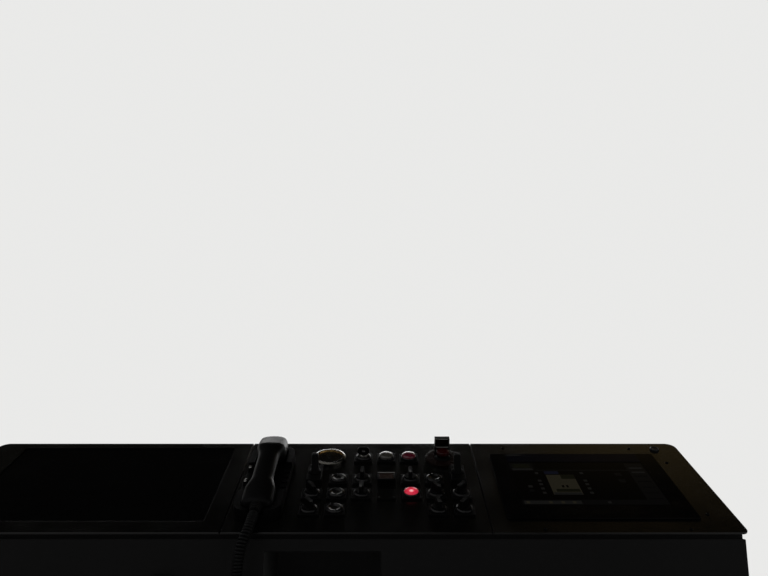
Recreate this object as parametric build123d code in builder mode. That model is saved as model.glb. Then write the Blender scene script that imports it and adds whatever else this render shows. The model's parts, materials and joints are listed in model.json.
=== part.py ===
from build123d import *
import math
import os

# Driver's control desk: a sheet steel cabinet with a sloping top, screens, controls and a handset.
# Millimetres and degrees, X to the driver's right, Y away from the driver, Z up, floor centre at zero.

# Cabinet
desk_depth = 380
front_height = 850
slope_angle = 25
slope_length = 320
side_overhang = 8
sheet = 3
apron_height = 200
apron_gap = 7
fold_radius = 6
soffit_run = 110
soffit_fall = 60
header_height = 20
edge_round = 2
ledge_drop = 12
ledge_corner = 12
rail_recess = 10
rail_depth = 10
rail_height = 20
back_recess = 3

# Plinth and floor
plinth_height = 90
plinth_side_inset = 14
plinth_front_inset = 30
plinth_back_inset = 10
foot_width = 50
foot_thickness = 5
floor_bolt_radius = 7
floor_bolt_edge = 25
cable_entry_radius = 30
cable_entry_inset = 270

# Sloping top
plate = 3
seam_gap = 1.6
rear_corner = 20
front_corner = 12
plate_edge = 1

# Service doors
door_margin_side = 30
door_margin_middle = 20
door_margin_foot = 30
door_margin_head = 15
door_gap = 5
door_thickness = 18
door_sheet = 2
door_corner = 4
slot_length = 90
slot_height = 5
slot_pitch = 14
slot_count = 6
vent_inset = 160
vent_offset = 413
hinge_radius = 5
hinge_pin_radius = 2.5
hinge_play = 0.25
hinge_stand_off = 0.6
knuckle_length = 22
knuckle_gap = 0.5
leaf_width = 22
leaf_thickness = 2
hinge_inset = 70
lock_radius = 14
lock_height = 9
lock_edge = 34

# Open pocket in the apron
pocket_offset = 74
pocket_width = 192
pocket_top = 29
pocket_height = 100
pocket_depth = 160
pocket_wall = 2
pocket_lip = 6

# Screens
monitor_margin_left = 61
monitor_margin_right = 34
monitor_width = 431
monitor_front = 34
monitor_height = 266
monitor_rim = 8
monitor_depth = 42
monitor_glass = 5
cutout_corner = 4
touch_margin_left = 31
touch_margin_right = 63
touch_width = 330
touch_front = 37.5
touch_height = 232
touch_bezel = 3
touch_corner = 6
screen_width = 261
screen_height = 158
screen_margin_left = 34
screen_margin_front = 40
screen_recess = 0.5
screen_glass = 2
touch_body_inset = 8
touch_body_depth = 48

# Grid of the controls
columns_margin_left = 45.3
columns_margin_right = 39.7
column_pitch = 45
row_rear = 252
row_upper = 169
row_middle = 117
row_lower = 65

# Controls
base_side = 36.5
base_height = 4
base_draft = 6
ring_radius = 15
ring_height = 4
cap_radius = 12
cap_height = 0.8
hole_radius = 11.25
block_side = 30
block_depth = 42
shank_play = 0.25
lens_radius = 14
lens_height = 4
lens_bevel = 2
knob_length = 25
knob_width = 9
knob_nose = 4
knob_height = 13
knob_disc = 2.5
gauge_radius = 32
gauge_rim = 5
gauge_height = 8
gauge_dial = 2
gauge_glass_thickness = 1.5
gauge_glass_drop = 1.5
pointer_length = 21
pointer_width = 2
pointer_thickness = 1
key_width = 23
key_height = 16
key_thickness = 5
key_stem = 3
barrel_radius = 10
lever_base_width = 30
lever_base_length = 60
lever_base_height = 10
lever_base_front = 153
lever_collar_radius = 12
lever_collar_height = 4
lever_width = 13
lever_top = 40
lever_root = 20
lever_tip = 11
lever_lean = 15
collar_radius = 34
collar_hole = 17
collar_height = 5
mushroom_radius = 15
mushroom_top = 19
mushroom_cap = 8
mushroom_stem = 11
mushroom_bevel = 3
guard_width = 30
guard_depth = 13
guard_top = 35
guard_wall = 2
guard_offset = 17
indicator_width = 33
indicator_length = 26
indicator_height = 10
indicator_lens = 3
indicator_frame = 3
blank_width = 33
blank_length = 36
blank_height = 2
panel_lock_side = 49
panel_lock_rear = 28
panel_lock_radius = 9
panel_lock_height = 4

# Handset and cradle
cradle_margin = 13
cradle_width = 82
cradle_front = 32
cradle_length = 232
cradle_corner = 24
cradle_deck = 12
cradle_wall_top = 22
cup_length = 66
cup_play = 2
handset_length = 215
handset_width = 56
handset_corner = 16
handset_edge = 8
grip_width = 40
handset_top = 46
handset_head = 53
grip_top = 47
cup_rise = 0.4
grip_under = 27
waist_run_out = 30
lug_count = 2
lug_pitch = 50
lug_front = 101
lug_width = 7.5
lug_length = 12
lug_height = 9
rib_count = 5
rib_pitch = 18
rib_width = 11
rib_length = 7
rib_height = 3
rib_front = 92

# Curly cord
cord_radius = 9
boot_length = 16
boot_radius = 11
boot_neck = 8.5
boot_ribs = 4
boot_gap = 1.2
gland_width = 40
gland_height = 46
gland_stand = 36
gland_flange = 4
gland_offset = 90
gland_foot = 738

os.makedirs("parts", exist_ok=True)

# Controls by row, one letter a column: B button, L S T R selectors turned left to right, K key,
# W white lens, D red lens, G lit lens, V lever, I indicator, P blank plate
row_plan = {
    "rear": "--KWD--",
    "upper": "VBSISBV",
    "middle": "LBSPGLR",
    "lower": "LB---TR",
}
knob_turns = {"L": -35, "S": 0, "T": -12, "R": 35}

slope = math.radians(slope_angle)
front_y = -desk_depth / 2
back_y = desk_depth / 2

# Three plates side by side, each as wide as what it holds
column_count = len(row_plan["rear"])
columns_width = (column_count - 1) * column_pitch
left_width = monitor_margin_left + monitor_width + monitor_margin_right
centre_width = (
    cradle_margin + cradle_width + columns_margin_left + columns_width + columns_margin_right
)
right_width = touch_margin_left + touch_width + touch_margin_right
desk_width = left_width + centre_width + right_width
top_half = desk_width / 2
seam_left = left_width - top_half
seam_right = top_half - right_width
monitor_left = monitor_margin_left - top_half
monitor_right = monitor_left + monitor_width
monitor_rear = monitor_front + monitor_height
handset_x = seam_left + cradle_margin + cradle_width / 2
first_column = seam_left + cradle_margin + cradle_width + columns_margin_left
touch_left = seam_right + touch_margin_left
touch_right = touch_left + touch_width
touch_rear = touch_front + touch_height
screen_left = touch_left + screen_margin_left
screen_right = screen_left + screen_width
screen_front = touch_front + screen_margin_front
screen_rear = screen_front + screen_height

cabinet_half = top_half - side_overhang
inner_half = cabinet_half - sheet
ledge_y = front_y + slope_length * math.cos(slope)
slope_top = front_height + slope_length * math.sin(slope)
ledge_top = slope_top - ledge_drop
apron_foot = front_height - apron_height
door_y = front_y + soffit_run
door_head = apron_foot - soffit_fall
frame_top = door_head - header_height
floor_top = plinth_height + sheet
apron_top = front_height - plate / math.cos(slope) - apron_gap

# The sloping top's own plane: x across, y up the slope from the front edge, z out of the panel
panel = Plane(
    origin=(0, front_y, front_height),
    x_dir=(1, 0, 0),
    z_dir=(0, -math.sin(slope), math.cos(slope)),
)


def under_top(y):
    """Height of the underside of the top plates at depth y."""
    return front_height + (y - front_y) * math.tan(slope) - plate / math.cos(slope)


def over_soffit(y):
    """Height of the soffit's inner face at depth y."""
    soffit = math.atan2(soffit_fall, soffit_run)
    return apron_foot - (y - front_y) * math.tan(soffit) + sheet / math.cos(soffit)


def facing(y):
    """Plane that faces the driver at depth y, with x across and y up."""
    return Plane.XZ.offset(-y)


def upright(x):
    """Plane across the slope at x, with x up the slope and y out of the panel."""
    return Plane(
        origin=(x, front_y, front_height),
        x_dir=(0, math.cos(slope), math.sin(slope)),
        z_dir=(1, 0, 0),
    )


def column(index):
    return first_column + index * column_pitch


def places(letters):
    """Places on the panel of the controls that the plan marks with these letters."""
    return [
        (column(index), row_fronts[row])
        for row, marks in row_plan.items()
        for index, mark in enumerate(marks)
        if mark in letters
    ]


def patch(x0, x1, y0, y1, mode=Mode.ADD):
    """Rectangle between two edges across and two edges up, in the open sketch."""
    with Locations(((x0 + x1) / 2, (y0 + y1) / 2)):
        Rectangle(x1 - x0, y1 - y0, mode=mode)


# Plinth with a bolted foot flange
plinth_half = cabinet_half - plinth_side_inset
plinth_front = door_y + plinth_front_inset
plinth_back = back_y - plinth_back_inset
plinth_middle = (plinth_front + plinth_back) / 2
bolt_x = plinth_half - floor_bolt_edge
bolt_y = (plinth_back - plinth_front) / 2 - floor_bolt_edge
with BuildPart() as plinth:
    with BuildSketch(Plane.XY):
        with Locations((0, plinth_middle)):
            Rectangle(2 * plinth_half, plinth_back - plinth_front)
            Rectangle(
                2 * (plinth_half - foot_width),
                plinth_back - plinth_front - 2 * foot_width,
                mode=Mode.SUBTRACT,
            )
            with GridLocations(2 * bolt_x, 2 * bolt_y, 2, 2):
                Circle(floor_bolt_radius, mode=Mode.SUBTRACT)
    extrude(amount=foot_thickness)
    with BuildSketch(Plane.XY):
        with Locations((0, plinth_middle)):
            Rectangle(2 * plinth_half, plinth_back - plinth_front)
            Rectangle(
                2 * (plinth_half - sheet),
                plinth_back - plinth_front - 2 * sheet,
                mode=Mode.SUBTRACT,
            )
    extrude(amount=plinth_height)
plinth.part.label = "plinth"
export_step(plinth.part, "parts/plinth.step")

# Floor pan with its cable entry
cable_entry_x = cable_entry_inset - top_half
back_inner = back_y - back_recess - sheet
with BuildPart() as floor_pan:
    with BuildSketch(Plane.XY.offset(plinth_height)):
        patch(-inner_half, inner_half, door_y + sheet, back_inner)
        with Locations((cable_entry_x, plinth_middle)):
            Circle(cable_entry_radius, mode=Mode.SUBTRACT)
    extrude(amount=sheet)
floor_pan.part.label = "floor_pan"
export_step(floor_pan.part, "parts/floor_pan.step")

# Side panels, rounded along their outer edges
side_outline = [
    (front_y, apron_foot),
    (front_y, apron_top),
    (front_y + rail_recess, apron_top),
    (front_y + rail_recess, under_top(front_y + rail_recess)),
    (ledge_y, under_top(ledge_y)),
    (ledge_y, ledge_top - sheet),
    (back_y, ledge_top - sheet),
    (back_y, plinth_height),
    (door_y, plinth_height),
    (door_y, door_head),
]
for hand, name in ((-1, "side_left"), (1, "side_right")):
    with BuildPart() as side:
        with BuildSketch(Plane.YZ.offset(hand * inner_half)):
            with BuildLine():
                Polyline(side_outline, close=True)
            make_face()
        extrude(amount=hand * sheet)
        outer_face = side.faces().sort_by(Axis.X)[-1 if hand > 0 else 0]
        fillet(outer_face.edges(), radius=edge_round)
    side.part.label = name
    export_step(side.part, f"parts/{name}.step")

# Partitions under the seams of the top
rail_back = front_y + rail_recess + rail_depth
partition_outline = [
    (rail_back, over_soffit(rail_back)),
    (rail_back, under_top(rail_back)),
    (ledge_y - sheet, under_top(ledge_y - sheet)),
    (ledge_y - sheet, ledge_top - sheet),
    (back_inner, ledge_top - sheet),
    (back_inner, floor_top),
    (door_y + sheet, floor_top),
    (door_y + sheet, over_soffit(door_y + sheet)),
]
for x, name in ((seam_left, "partition_left"), (seam_right, "partition_right")):
    with BuildPart() as partition:
        with BuildSketch(Plane.YZ.offset(x)):
            with BuildLine():
                Polyline(partition_outline, close=True)
            make_face()
        extrude(amount=sheet / 2, both=True)
    partition.part.label = name
    export_step(partition.part, f"parts/{name}.step")

# Back panel, set in between the sides, with four fields of air slots
with BuildPart() as back_panel:
    with BuildSketch(facing(back_inner)):
        patch(-inner_half, inner_half, plinth_height, ledge_top - sheet)
        for x in (-vent_offset, vent_offset):
            for level in (plinth_height + vent_inset, ledge_top - vent_inset):
                with Locations((x, level)):
                    with GridLocations(slot_length * 1.3, slot_pitch, 2, slot_count):
                        Rectangle(slot_length, slot_height, mode=Mode.SUBTRACT)
    extrude(amount=-sheet)
back_panel.part.label = "back_panel"
export_step(back_panel.part, "parts/back_panel.step")

# Rear ledge with its upstand behind the sloping top
with BuildPart() as rear_ledge:
    with BuildSketch(Plane.XY.offset(ledge_top - sheet)):
        patch(-cabinet_half, cabinet_half, ledge_y, back_y)
        fillet(vertices().group_by(Axis.Y)[-1], radius=ledge_corner)
    extrude(amount=sheet)
    with BuildSketch(Plane.YZ.offset(-inner_half)):
        with BuildLine():
            Polyline(
                (ledge_y - sheet, ledge_top - sheet),
                (ledge_y - sheet, under_top(ledge_y - sheet)),
                (ledge_y, under_top(ledge_y)),
                (ledge_y, ledge_top - sheet),
                close=True,
            )
        make_face()
    extrude(amount=2 * inner_half)
rear_ledge.part.label = "rear_ledge"
export_step(rear_ledge.part, "parts/rear_ledge.step")

# Apron, soffit and door header, one folded sheet
pocket_left = seam_left + pocket_offset
with BuildPart() as apron:
    with BuildSketch(Plane.YZ.offset(-inner_half)):
        with BuildLine():
            FilletPolyline(
                (front_y, apron_top),
                (front_y, apron_foot),
                (door_y, door_head),
                (door_y, frame_top),
                radius=fold_radius,
            )
            offset(amount=sheet, side=Side.LEFT)
        make_face()
    extrude(amount=2 * inner_half)
    with BuildSketch(facing(front_y)):
        patch(
            pocket_left,
            pocket_left + pocket_width,
            front_height - pocket_top - pocket_height,
            front_height - pocket_top,
        )
    extrude(amount=-sheet, mode=Mode.SUBTRACT)
apron.part.label = "apron"
export_step(apron.part, "parts/apron.step")

# Storage pocket behind the apron, open to the driver
with BuildPart() as pocket_liner:
    with BuildSketch(facing(front_y + sheet)):
        patch(
            pocket_left - pocket_lip,
            pocket_left + pocket_width + pocket_lip,
            front_height - pocket_top - pocket_height - pocket_lip,
            front_height - pocket_top + pocket_lip,
        )
    extrude(amount=-pocket_wall)
    with BuildSketch(facing(front_y + sheet)):
        patch(
            pocket_left - pocket_wall,
            pocket_left + pocket_width + pocket_wall,
            front_height - pocket_top - pocket_height - pocket_wall,
            front_height - pocket_top + pocket_wall,
        )
    extrude(amount=-pocket_depth)
    with BuildSketch(facing(front_y + sheet)):
        patch(
            pocket_left,
            pocket_left + pocket_width,
            front_height - pocket_top - pocket_height,
            front_height - pocket_top,
        )
    extrude(amount=pocket_wall - pocket_depth, mode=Mode.SUBTRACT)
pocket_liner.part.label = "pocket_liner"
export_step(pocket_liner.part, "parts/pocket_liner.step")

# Front rail, set back in the shadow gap under the top's front edge
with BuildPart() as front_rail:
    with BuildSketch(Plane.YZ.offset(-inner_half)):
        with BuildLine():
            Polyline(
                (front_y + rail_recess, front_height - rail_height),
                (front_y + rail_recess, under_top(front_y + rail_recess)),
                (rail_back, under_top(rail_back)),
                (rail_back, front_height - rail_height),
                close=True,
            )
        make_face()
    extrude(amount=2 * inner_half)
front_rail.part.label = "front_rail"
export_step(front_rail.part, "parts/front_rail.step")

# Door openings: name, left edge, right edge, hinge side (-1 left, 1 right)
openings = [
    ("left", -inner_half + door_margin_side, seam_left - door_margin_middle, -1),
    ("centre", seam_left + door_margin_middle, seam_right - door_margin_middle, -1),
    ("right", seam_right + door_margin_middle, inner_half - door_margin_side, 1),
]
opening_foot = plinth_height + door_margin_foot
opening_head = frame_top - door_margin_head
with BuildPart() as door_frame:
    with BuildSketch(facing(door_y)):
        patch(-inner_half, inner_half, plinth_height, frame_top)
        for name, x0, x1, hinge_hand in openings:
            patch(x0, x1, opening_foot, opening_head, mode=Mode.SUBTRACT)
    extrude(amount=-sheet)
door_frame.part.label = "door_frame"
export_step(door_frame.part, "parts/door_frame.step")

# Service doors: folded pans with air slots, moving hinge knuckles and leaves
door_foot = opening_foot + door_gap
door_top = opening_head - door_gap
hinge_y = door_y - hinge_radius - hinge_stand_off
hinge_levels = (door_foot + hinge_inset, door_top - hinge_inset)
for name, x0, x1, hinge_hand in openings:
    hinge_x = x0 + door_gap / 2 if hinge_hand < 0 else x1 - door_gap / 2
    door_middle = (x0 + x1) / 2
    with BuildPart() as door:
        with BuildSketch(facing(door_y)):
            patch(x0 + door_gap, x1 - door_gap, door_foot, door_top)
            fillet(vertices(), radius=door_corner)
        extrude(amount=-door_thickness)
        with BuildSketch(facing(door_y + door_sheet)):
            patch(
                x0 + door_gap + door_sheet,
                x1 - door_gap - door_sheet,
                door_foot + door_sheet,
                door_top - door_sheet,
            )
        extrude(amount=-door_thickness, mode=Mode.SUBTRACT)
        with BuildSketch(facing(door_y)):
            with Locations((door_middle, door_foot + slot_pitch * slot_count)):
                with GridLocations(slot_length * 1.3, slot_pitch, 2, slot_count):
                    Rectangle(slot_length, slot_height)
        extrude(amount=-door_sheet, mode=Mode.SUBTRACT)
        for level in hinge_levels:
            foot = level + knuckle_gap / 2
            with BuildSketch(Plane.XY.offset(foot)):
                with Locations((hinge_x, hinge_y)):
                    Circle(hinge_radius)
                patch(
                    min(hinge_x, hinge_x - hinge_hand * leaf_width),
                    max(hinge_x, hinge_x - hinge_hand * leaf_width),
                    door_y - leaf_thickness,
                    door_y,
                )
                with Locations((hinge_x, hinge_y)):
                    Circle(hinge_pin_radius + hinge_play, mode=Mode.SUBTRACT)
            extrude(amount=knuckle_length)
    door.part.label = f"door_{name}"
    export_step(door.part, f"parts/door_{name}.step")

    # Quarter-turn lock on the door's free edge
    lock_x = x1 - door_gap - lock_edge if hinge_hand < 0 else x0 + door_gap + lock_edge
    with BuildPart() as lock:
        with BuildSketch(facing(door_y)):
            with Locations((lock_x, (door_foot + door_top) / 2)):
                Circle(lock_radius)
        extrude(amount=lock_height / 3)
        with BuildSketch(facing(door_y - lock_height / 3)):
            with Locations((lock_x, (door_foot + door_top) / 2)):
                RectangleRounded(lock_radius * 0.6, lock_radius * 1.7, lock_radius * 0.25)
        extrude(amount=lock_height * 2 / 3)
    lock.part.label = f"lock_{name}"
    export_step(lock.part, f"parts/lock_{name}.step")

# Fixed hinge halves with their pins, on the door frame
with BuildPart() as hinges:
    for name, x0, x1, hinge_hand in openings:
        hinge_x = x0 + door_gap / 2 if hinge_hand < 0 else x1 - door_gap / 2
        for level in hinge_levels:
            foot = level - knuckle_gap / 2 - knuckle_length
            with BuildSketch(Plane.XY.offset(foot)):
                with Locations((hinge_x, hinge_y)):
                    Circle(hinge_radius)
                patch(
                    min(hinge_x, hinge_x + hinge_hand * leaf_width),
                    max(hinge_x, hinge_x + hinge_hand * leaf_width),
                    door_y - leaf_thickness,
                    door_y,
                )
            extrude(amount=knuckle_length)
            with BuildSketch(Plane.XY.offset(foot)):
                with Locations((hinge_x, hinge_y)):
                    Circle(hinge_pin_radius)
            extrude(amount=2 * knuckle_length + knuckle_gap)
hinges.part.label = "hinges"
export_step(hinges.part, "parts/hinges.step")

# Electronics, one plain block on the floor of the middle compartment
block_width = (seam_right - seam_left) * 0.6
with BuildPart() as electronics_block:
    with BuildSketch(Plane.XY.offset(floor_top)):
        with Locations(((seam_left + seam_right) / 2, plinth_middle)):
            Rectangle(block_width, (plinth_back - plinth_front) * 0.7)
    extrude(amount=(frame_top - floor_top) * 0.55)
electronics_block.part.label = "electronics_block"
export_step(electronics_block.part, "parts/electronics_block.step")

# Places of the controls
row_fronts = {"rear": row_rear, "upper": row_upper, "middle": row_middle, "lower": row_lower}
knobs = [(spot, turn) for mark, turn in knob_turns.items() for spot in places(mark)]
lens_places = {"white_button": places("W"), "red_button": places("D"), "lit_button": places("G")}
ring_places = places("BLSTRKWDG")
key_place = places("K")[0]
gauge_place = (column(0.5), row_rear)
emergency_place = (column(column_count - 1.5), row_rear)

# Three top plates with the cut-outs of the screens and the controls
plate_spans = {
    "top_left": (-top_half, seam_left - seam_gap / 2),
    "top_centre": (seam_left + seam_gap / 2, seam_right - seam_gap / 2),
    "top_right": (seam_right + seam_gap / 2, top_half),
}
for name, (x0, x1) in plate_spans.items():
    with BuildPart() as top_plate:
        with BuildSketch(panel.offset(-plate)):
            patch(x0, x1, 0, slope_length)
            for x in (-top_half, top_half):
                corners = vertices().filter_by_position(Axis.X, x - 1, x + 1)
                if corners:
                    fillet(corners.sort_by(Axis.Y)[-1], radius=rear_corner)
                    corners = vertices().filter_by_position(Axis.X, x - 1, x + 1)
                    fillet(corners.sort_by(Axis.Y)[0], radius=front_corner)
            if name == "top_left":
                with Locations(
                    ((monitor_left + monitor_right) / 2, (monitor_front + monitor_rear) / 2)
                ):
                    RectangleRounded(
                        monitor_width, monitor_height, cutout_corner, mode=Mode.SUBTRACT
                    )
            if name == "top_right":
                patch(
                    touch_left + touch_body_inset,
                    touch_right - touch_body_inset,
                    touch_front + touch_body_inset,
                    touch_rear - touch_body_inset,
                    mode=Mode.SUBTRACT,
                )
            if name == "top_centre":
                with Locations(*ring_places):
                    Circle(hole_radius, mode=Mode.SUBTRACT)
        extrude(amount=plate)
        rim = top_plate.faces().sort_by(Axis((0, 0, 0), panel.z_dir))[-1].outer_wire()
        chamfer(rim.edges(), length=plate_edge)
    top_plate.part.label = name
    export_step(top_plate.part, f"parts/{name}.step")

# Wide monitor behind the left plate
with BuildPart() as monitor_housing:
    with BuildSketch(panel.offset(-plate)):
        patch(
            monitor_left - monitor_rim,
            monitor_right + monitor_rim,
            monitor_front - monitor_rim,
            monitor_rear + monitor_rim,
        )
    extrude(amount=-monitor_depth)
    with BuildSketch(panel.offset(-plate)):
        patch(monitor_left, monitor_right, monitor_front, monitor_rear)
    extrude(amount=-monitor_glass, mode=Mode.SUBTRACT)
monitor_housing.part.label = "monitor_housing"
export_step(monitor_housing.part, "parts/monitor_housing.step")

with BuildPart() as monitor_screen:
    with BuildSketch(panel.offset(-plate - monitor_glass)):
        patch(monitor_left, monitor_right, monitor_front, monitor_rear)
    extrude(amount=monitor_glass)
monitor_screen.part.label = "monitor_screen"
export_step(monitor_screen.part, "parts/monitor_screen.step")

# Touch panel on the right plate
with BuildPart() as touch_frame:
    with BuildSketch(panel):
        with Locations(((touch_left + touch_right) / 2, (touch_front + touch_rear) / 2)):
            RectangleRounded(touch_width, touch_height, touch_corner)
    extrude(amount=touch_bezel)
    top_edges = touch_frame.faces().sort_by(Axis((0, 0, 0), panel.z_dir))[-1].edges()
    chamfer(top_edges, length=touch_bezel / 3)
    with BuildSketch(panel.offset(touch_bezel)):
        patch(screen_left, screen_right, screen_front, screen_rear)
    extrude(amount=-screen_recess - screen_glass, mode=Mode.SUBTRACT)
    with BuildSketch(panel):
        patch(
            touch_left + touch_body_inset,
            touch_right - touch_body_inset,
            touch_front + touch_body_inset,
            touch_rear - touch_body_inset,
        )
    extrude(amount=-touch_body_depth)
touch_frame.part.label = "touch_frame"
export_step(touch_frame.part, "parts/touch_frame.step")

with BuildPart() as touch_screen:
    with BuildSketch(panel.offset(touch_bezel - screen_recess)):
        patch(screen_left, screen_right, screen_front, screen_rear)
    extrude(amount=-screen_glass)
touch_screen.part.label = "touch_screen"
export_step(touch_screen.part, "parts/touch_screen.step")

# Square holders under the round controls
with BuildPart() as switch_bases:
    with BuildSketch(panel):
        with Locations(*ring_places):
            Rectangle(base_side, base_side)
    extrude(amount=base_height, taper=base_draft)
switch_bases.part.label = "switch_bases"
export_step(switch_bases.part, "parts/switch_bases.step")

# Contact blocks with their shanks through the plate
with BuildPart() as contact_blocks:
    with BuildSketch(panel.offset(-plate)):
        with Locations(*ring_places):
            Rectangle(block_side, block_side)
    extrude(amount=-block_depth)
    with BuildSketch(panel.offset(-plate)):
        with Locations(*ring_places):
            Circle(hole_radius - shank_play)
    extrude(amount=plate)
contact_blocks.part.label = "contact_blocks"
export_step(contact_blocks.part, "parts/contact_blocks.step")

# Round bezels on the holders
ring_top = base_height + ring_height
with BuildPart() as bezel_rings:
    with BuildSketch(panel.offset(base_height)):
        with Locations(*ring_places):
            Circle(ring_radius)
    extrude(amount=ring_height)
bezel_rings.part.label = "bezel_rings"
export_step(bezel_rings.part, "parts/bezel_rings.step")

# Black push buttons
with BuildPart() as black_caps:
    with BuildSketch(panel.offset(ring_top)):
        with Locations(*places("B")):
            Circle(cap_radius)
    extrude(amount=cap_height)
black_caps.part.label = "black_caps"
export_step(black_caps.part, "parts/black_caps.step")

# Lenses: white, red and lit
for name, spots in lens_places.items():
    with BuildPart() as button:
        with BuildSketch(panel.offset(ring_top)):
            with Locations(*spots):
                Circle(lens_radius)
        extrude(amount=lens_height)
        crown = button.edges().group_by(Axis((0, 0, 0), panel.z_dir))[-1]
        chamfer(crown, length=min(lens_bevel, lens_height / 2))
    button.part.label = name
    export_step(button.part, f"parts/{name}.step")

# Selector knobs: a disc on the bezel with a tapered bar across it, narrower at both ends
bar_half = knob_length / 2
with BuildPart() as selector_knobs:
    for spot, turn in knobs:
        with BuildSketch(panel.offset(ring_top)):
            with Locations(spot):
                Circle(cap_radius)
        extrude(amount=knob_disc)
        with BuildSketch(panel.offset(ring_top + knob_disc)):
            with Locations(Location(spot, turn)):
                Polygon(
                    (-knob_width / 2, knob_nose - bar_half),
                    (0, -bar_half),
                    (knob_width / 2, knob_nose - bar_half),
                    (knob_width / 2, bar_half - knob_nose),
                    (0, bar_half),
                    (-knob_width / 2, bar_half - knob_nose),
                    align=None,
                )
        extrude(amount=knob_height, taper=4)
selector_knobs.part.label = "selector_knobs"
export_step(selector_knobs.part, "parts/selector_knobs.step")

# Key switch: barrel on its bezel, and the key with a flat head
with BuildPart() as key_barrel:
    with BuildSketch(panel.offset(ring_top)):
        with Locations(key_place):
            Circle(barrel_radius)
    extrude(amount=key_stem)
key_barrel.part.label = "key_barrel"
export_step(key_barrel.part, "parts/key_barrel.step")

key_plane = Plane(
    origin=panel.from_local_coords((key_place[0], key_place[1], ring_top + key_stem)),
    x_dir=panel.x_dir,
    z_dir=-panel.y_dir,
)
with BuildPart() as key:
    with BuildSketch(key_plane):
        with Locations((0, key_height / 2)):
            RectangleRounded(key_width, key_height, key_height * 0.4)
            Circle(key_height * 0.2, mode=Mode.SUBTRACT)
    extrude(amount=key_thickness / 2, both=True)
key.part.label = "key"
export_step(key.part, "parts/key.step")

# Gauge: bezel, dial, pointer and glass
with BuildPart() as gauge_bezel:
    with BuildSketch(panel):
        with Locations(gauge_place):
            Circle(gauge_radius)
    extrude(amount=gauge_height)
    crown = gauge_bezel.edges().group_by(Axis((0, 0, 0), panel.z_dir))[-1]
    chamfer(crown, length=gauge_rim / 2)
    with BuildSketch(panel.offset(gauge_dial)):
        with Locations(gauge_place):
            Circle(gauge_radius - gauge_rim)
    extrude(amount=gauge_height, mode=Mode.SUBTRACT)
gauge_bezel.part.label = "gauge_bezel"
export_step(gauge_bezel.part, "parts/gauge_bezel.step")

with BuildPart() as gauge_pointer:
    with BuildSketch(panel.offset(gauge_dial)):
        with Locations(gauge_place):
            Circle(pointer_width * 1.6)
            Rectangle(pointer_width, pointer_length, rotation=40, align=(Align.CENTER, Align.MIN))
    extrude(amount=pointer_thickness)
gauge_pointer.part.label = "gauge_pointer"
export_step(gauge_pointer.part, "parts/gauge_pointer.step")

with BuildPart() as gauge_glass:
    with BuildSketch(panel.offset(gauge_height - gauge_glass_drop)):
        with Locations(gauge_place):
            Circle(gauge_radius - gauge_rim)
    extrude(amount=-gauge_glass_thickness)
gauge_glass.part.label = "gauge_glass"
export_step(gauge_glass.part, "parts/gauge_glass.step")

# Lever switches: long holders with a round collar and a leaning lever in each
lever_columns = [x for x, front in places("V")]
lever_base_rear = lever_base_front + lever_base_length
lever_middle = (lever_base_front + lever_base_rear) / 2
with BuildPart() as lever_bases:
    with BuildSketch(panel):
        for x in lever_columns:
            patch(
                x - lever_base_width / 2, x + lever_base_width / 2, lever_base_front, lever_base_rear
            )
    extrude(amount=lever_base_height, taper=base_draft)
    with BuildSketch(panel.offset(lever_base_height)):
        with Locations(*[(x, lever_middle) for x in lever_columns]):
            Circle(lever_collar_radius)
    extrude(amount=lever_collar_height)
lever_bases.part.label = "lever_bases"
export_step(lever_bases.part, "parts/lever_bases.step")

lever_foot = lever_base_height + lever_collar_height
with BuildPart() as levers:
    for x in lever_columns:
        with BuildSketch(upright(x)):
            with BuildLine():
                Polyline(
                    (lever_middle - lever_root / 2, lever_foot),
                    (lever_middle + lever_lean - lever_tip / 2, lever_top),
                    (lever_middle + lever_lean + lever_tip / 2, lever_top),
                    (lever_middle + lever_root / 2, lever_foot),
                    close=True,
                )
            make_face()
        extrude(amount=lever_width / 2, both=True)
    lever_tops = levers.faces().filter_by(panel).group_by(Axis((0, 0, 0), panel.z_dir))[-1]
    chamfer(lever_tops.edges(), length=lever_tip * 0.2)
levers.part.label = "levers"
export_step(levers.part, "parts/levers.step")

# Emergency button with its collar and the raised guard behind it
with BuildPart() as emergency_collar:
    with BuildSketch(panel):
        with Locations(emergency_place):
            Circle(collar_radius)
            Circle(collar_hole, mode=Mode.SUBTRACT)
    extrude(amount=collar_height)
emergency_collar.part.label = "emergency_collar"
export_step(emergency_collar.part, "parts/emergency_collar.step")

with BuildPart() as emergency_button:
    with BuildSketch(panel):
        with Locations(emergency_place):
            Circle(mushroom_stem)
    extrude(amount=mushroom_top - mushroom_cap)
    with BuildSketch(panel.offset(mushroom_top - mushroom_cap)):
        with Locations(emergency_place):
            Circle(mushroom_radius)
    extrude(amount=mushroom_cap)
    crown = emergency_button.edges().group_by(Axis((0, 0, 0), panel.z_dir))[-1]
    chamfer(crown, length=mushroom_bevel)
emergency_button.part.label = "emergency_button"
export_step(emergency_button.part, "parts/emergency_button.step")

guard_front = emergency_place[1] + guard_offset
with BuildPart() as emergency_guard:
    with BuildSketch(panel.offset(collar_height)):
        patch(
            emergency_place[0] - guard_width / 2,
            emergency_place[0] + guard_width / 2,
            guard_front,
            guard_front + guard_depth,
        )
    extrude(amount=guard_top - collar_height)
    with BuildSketch(panel.offset(collar_height + guard_wall)):
        patch(
            emergency_place[0] - guard_width / 2 + guard_wall,
            emergency_place[0] + guard_width / 2 - guard_wall,
            guard_front,
            guard_front + guard_depth - guard_wall,
        )
    extrude(amount=guard_top - collar_height - 2 * guard_wall, mode=Mode.SUBTRACT)
emergency_guard.part.label = "emergency_guard"
export_step(emergency_guard.part, "parts/emergency_guard.step")

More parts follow.
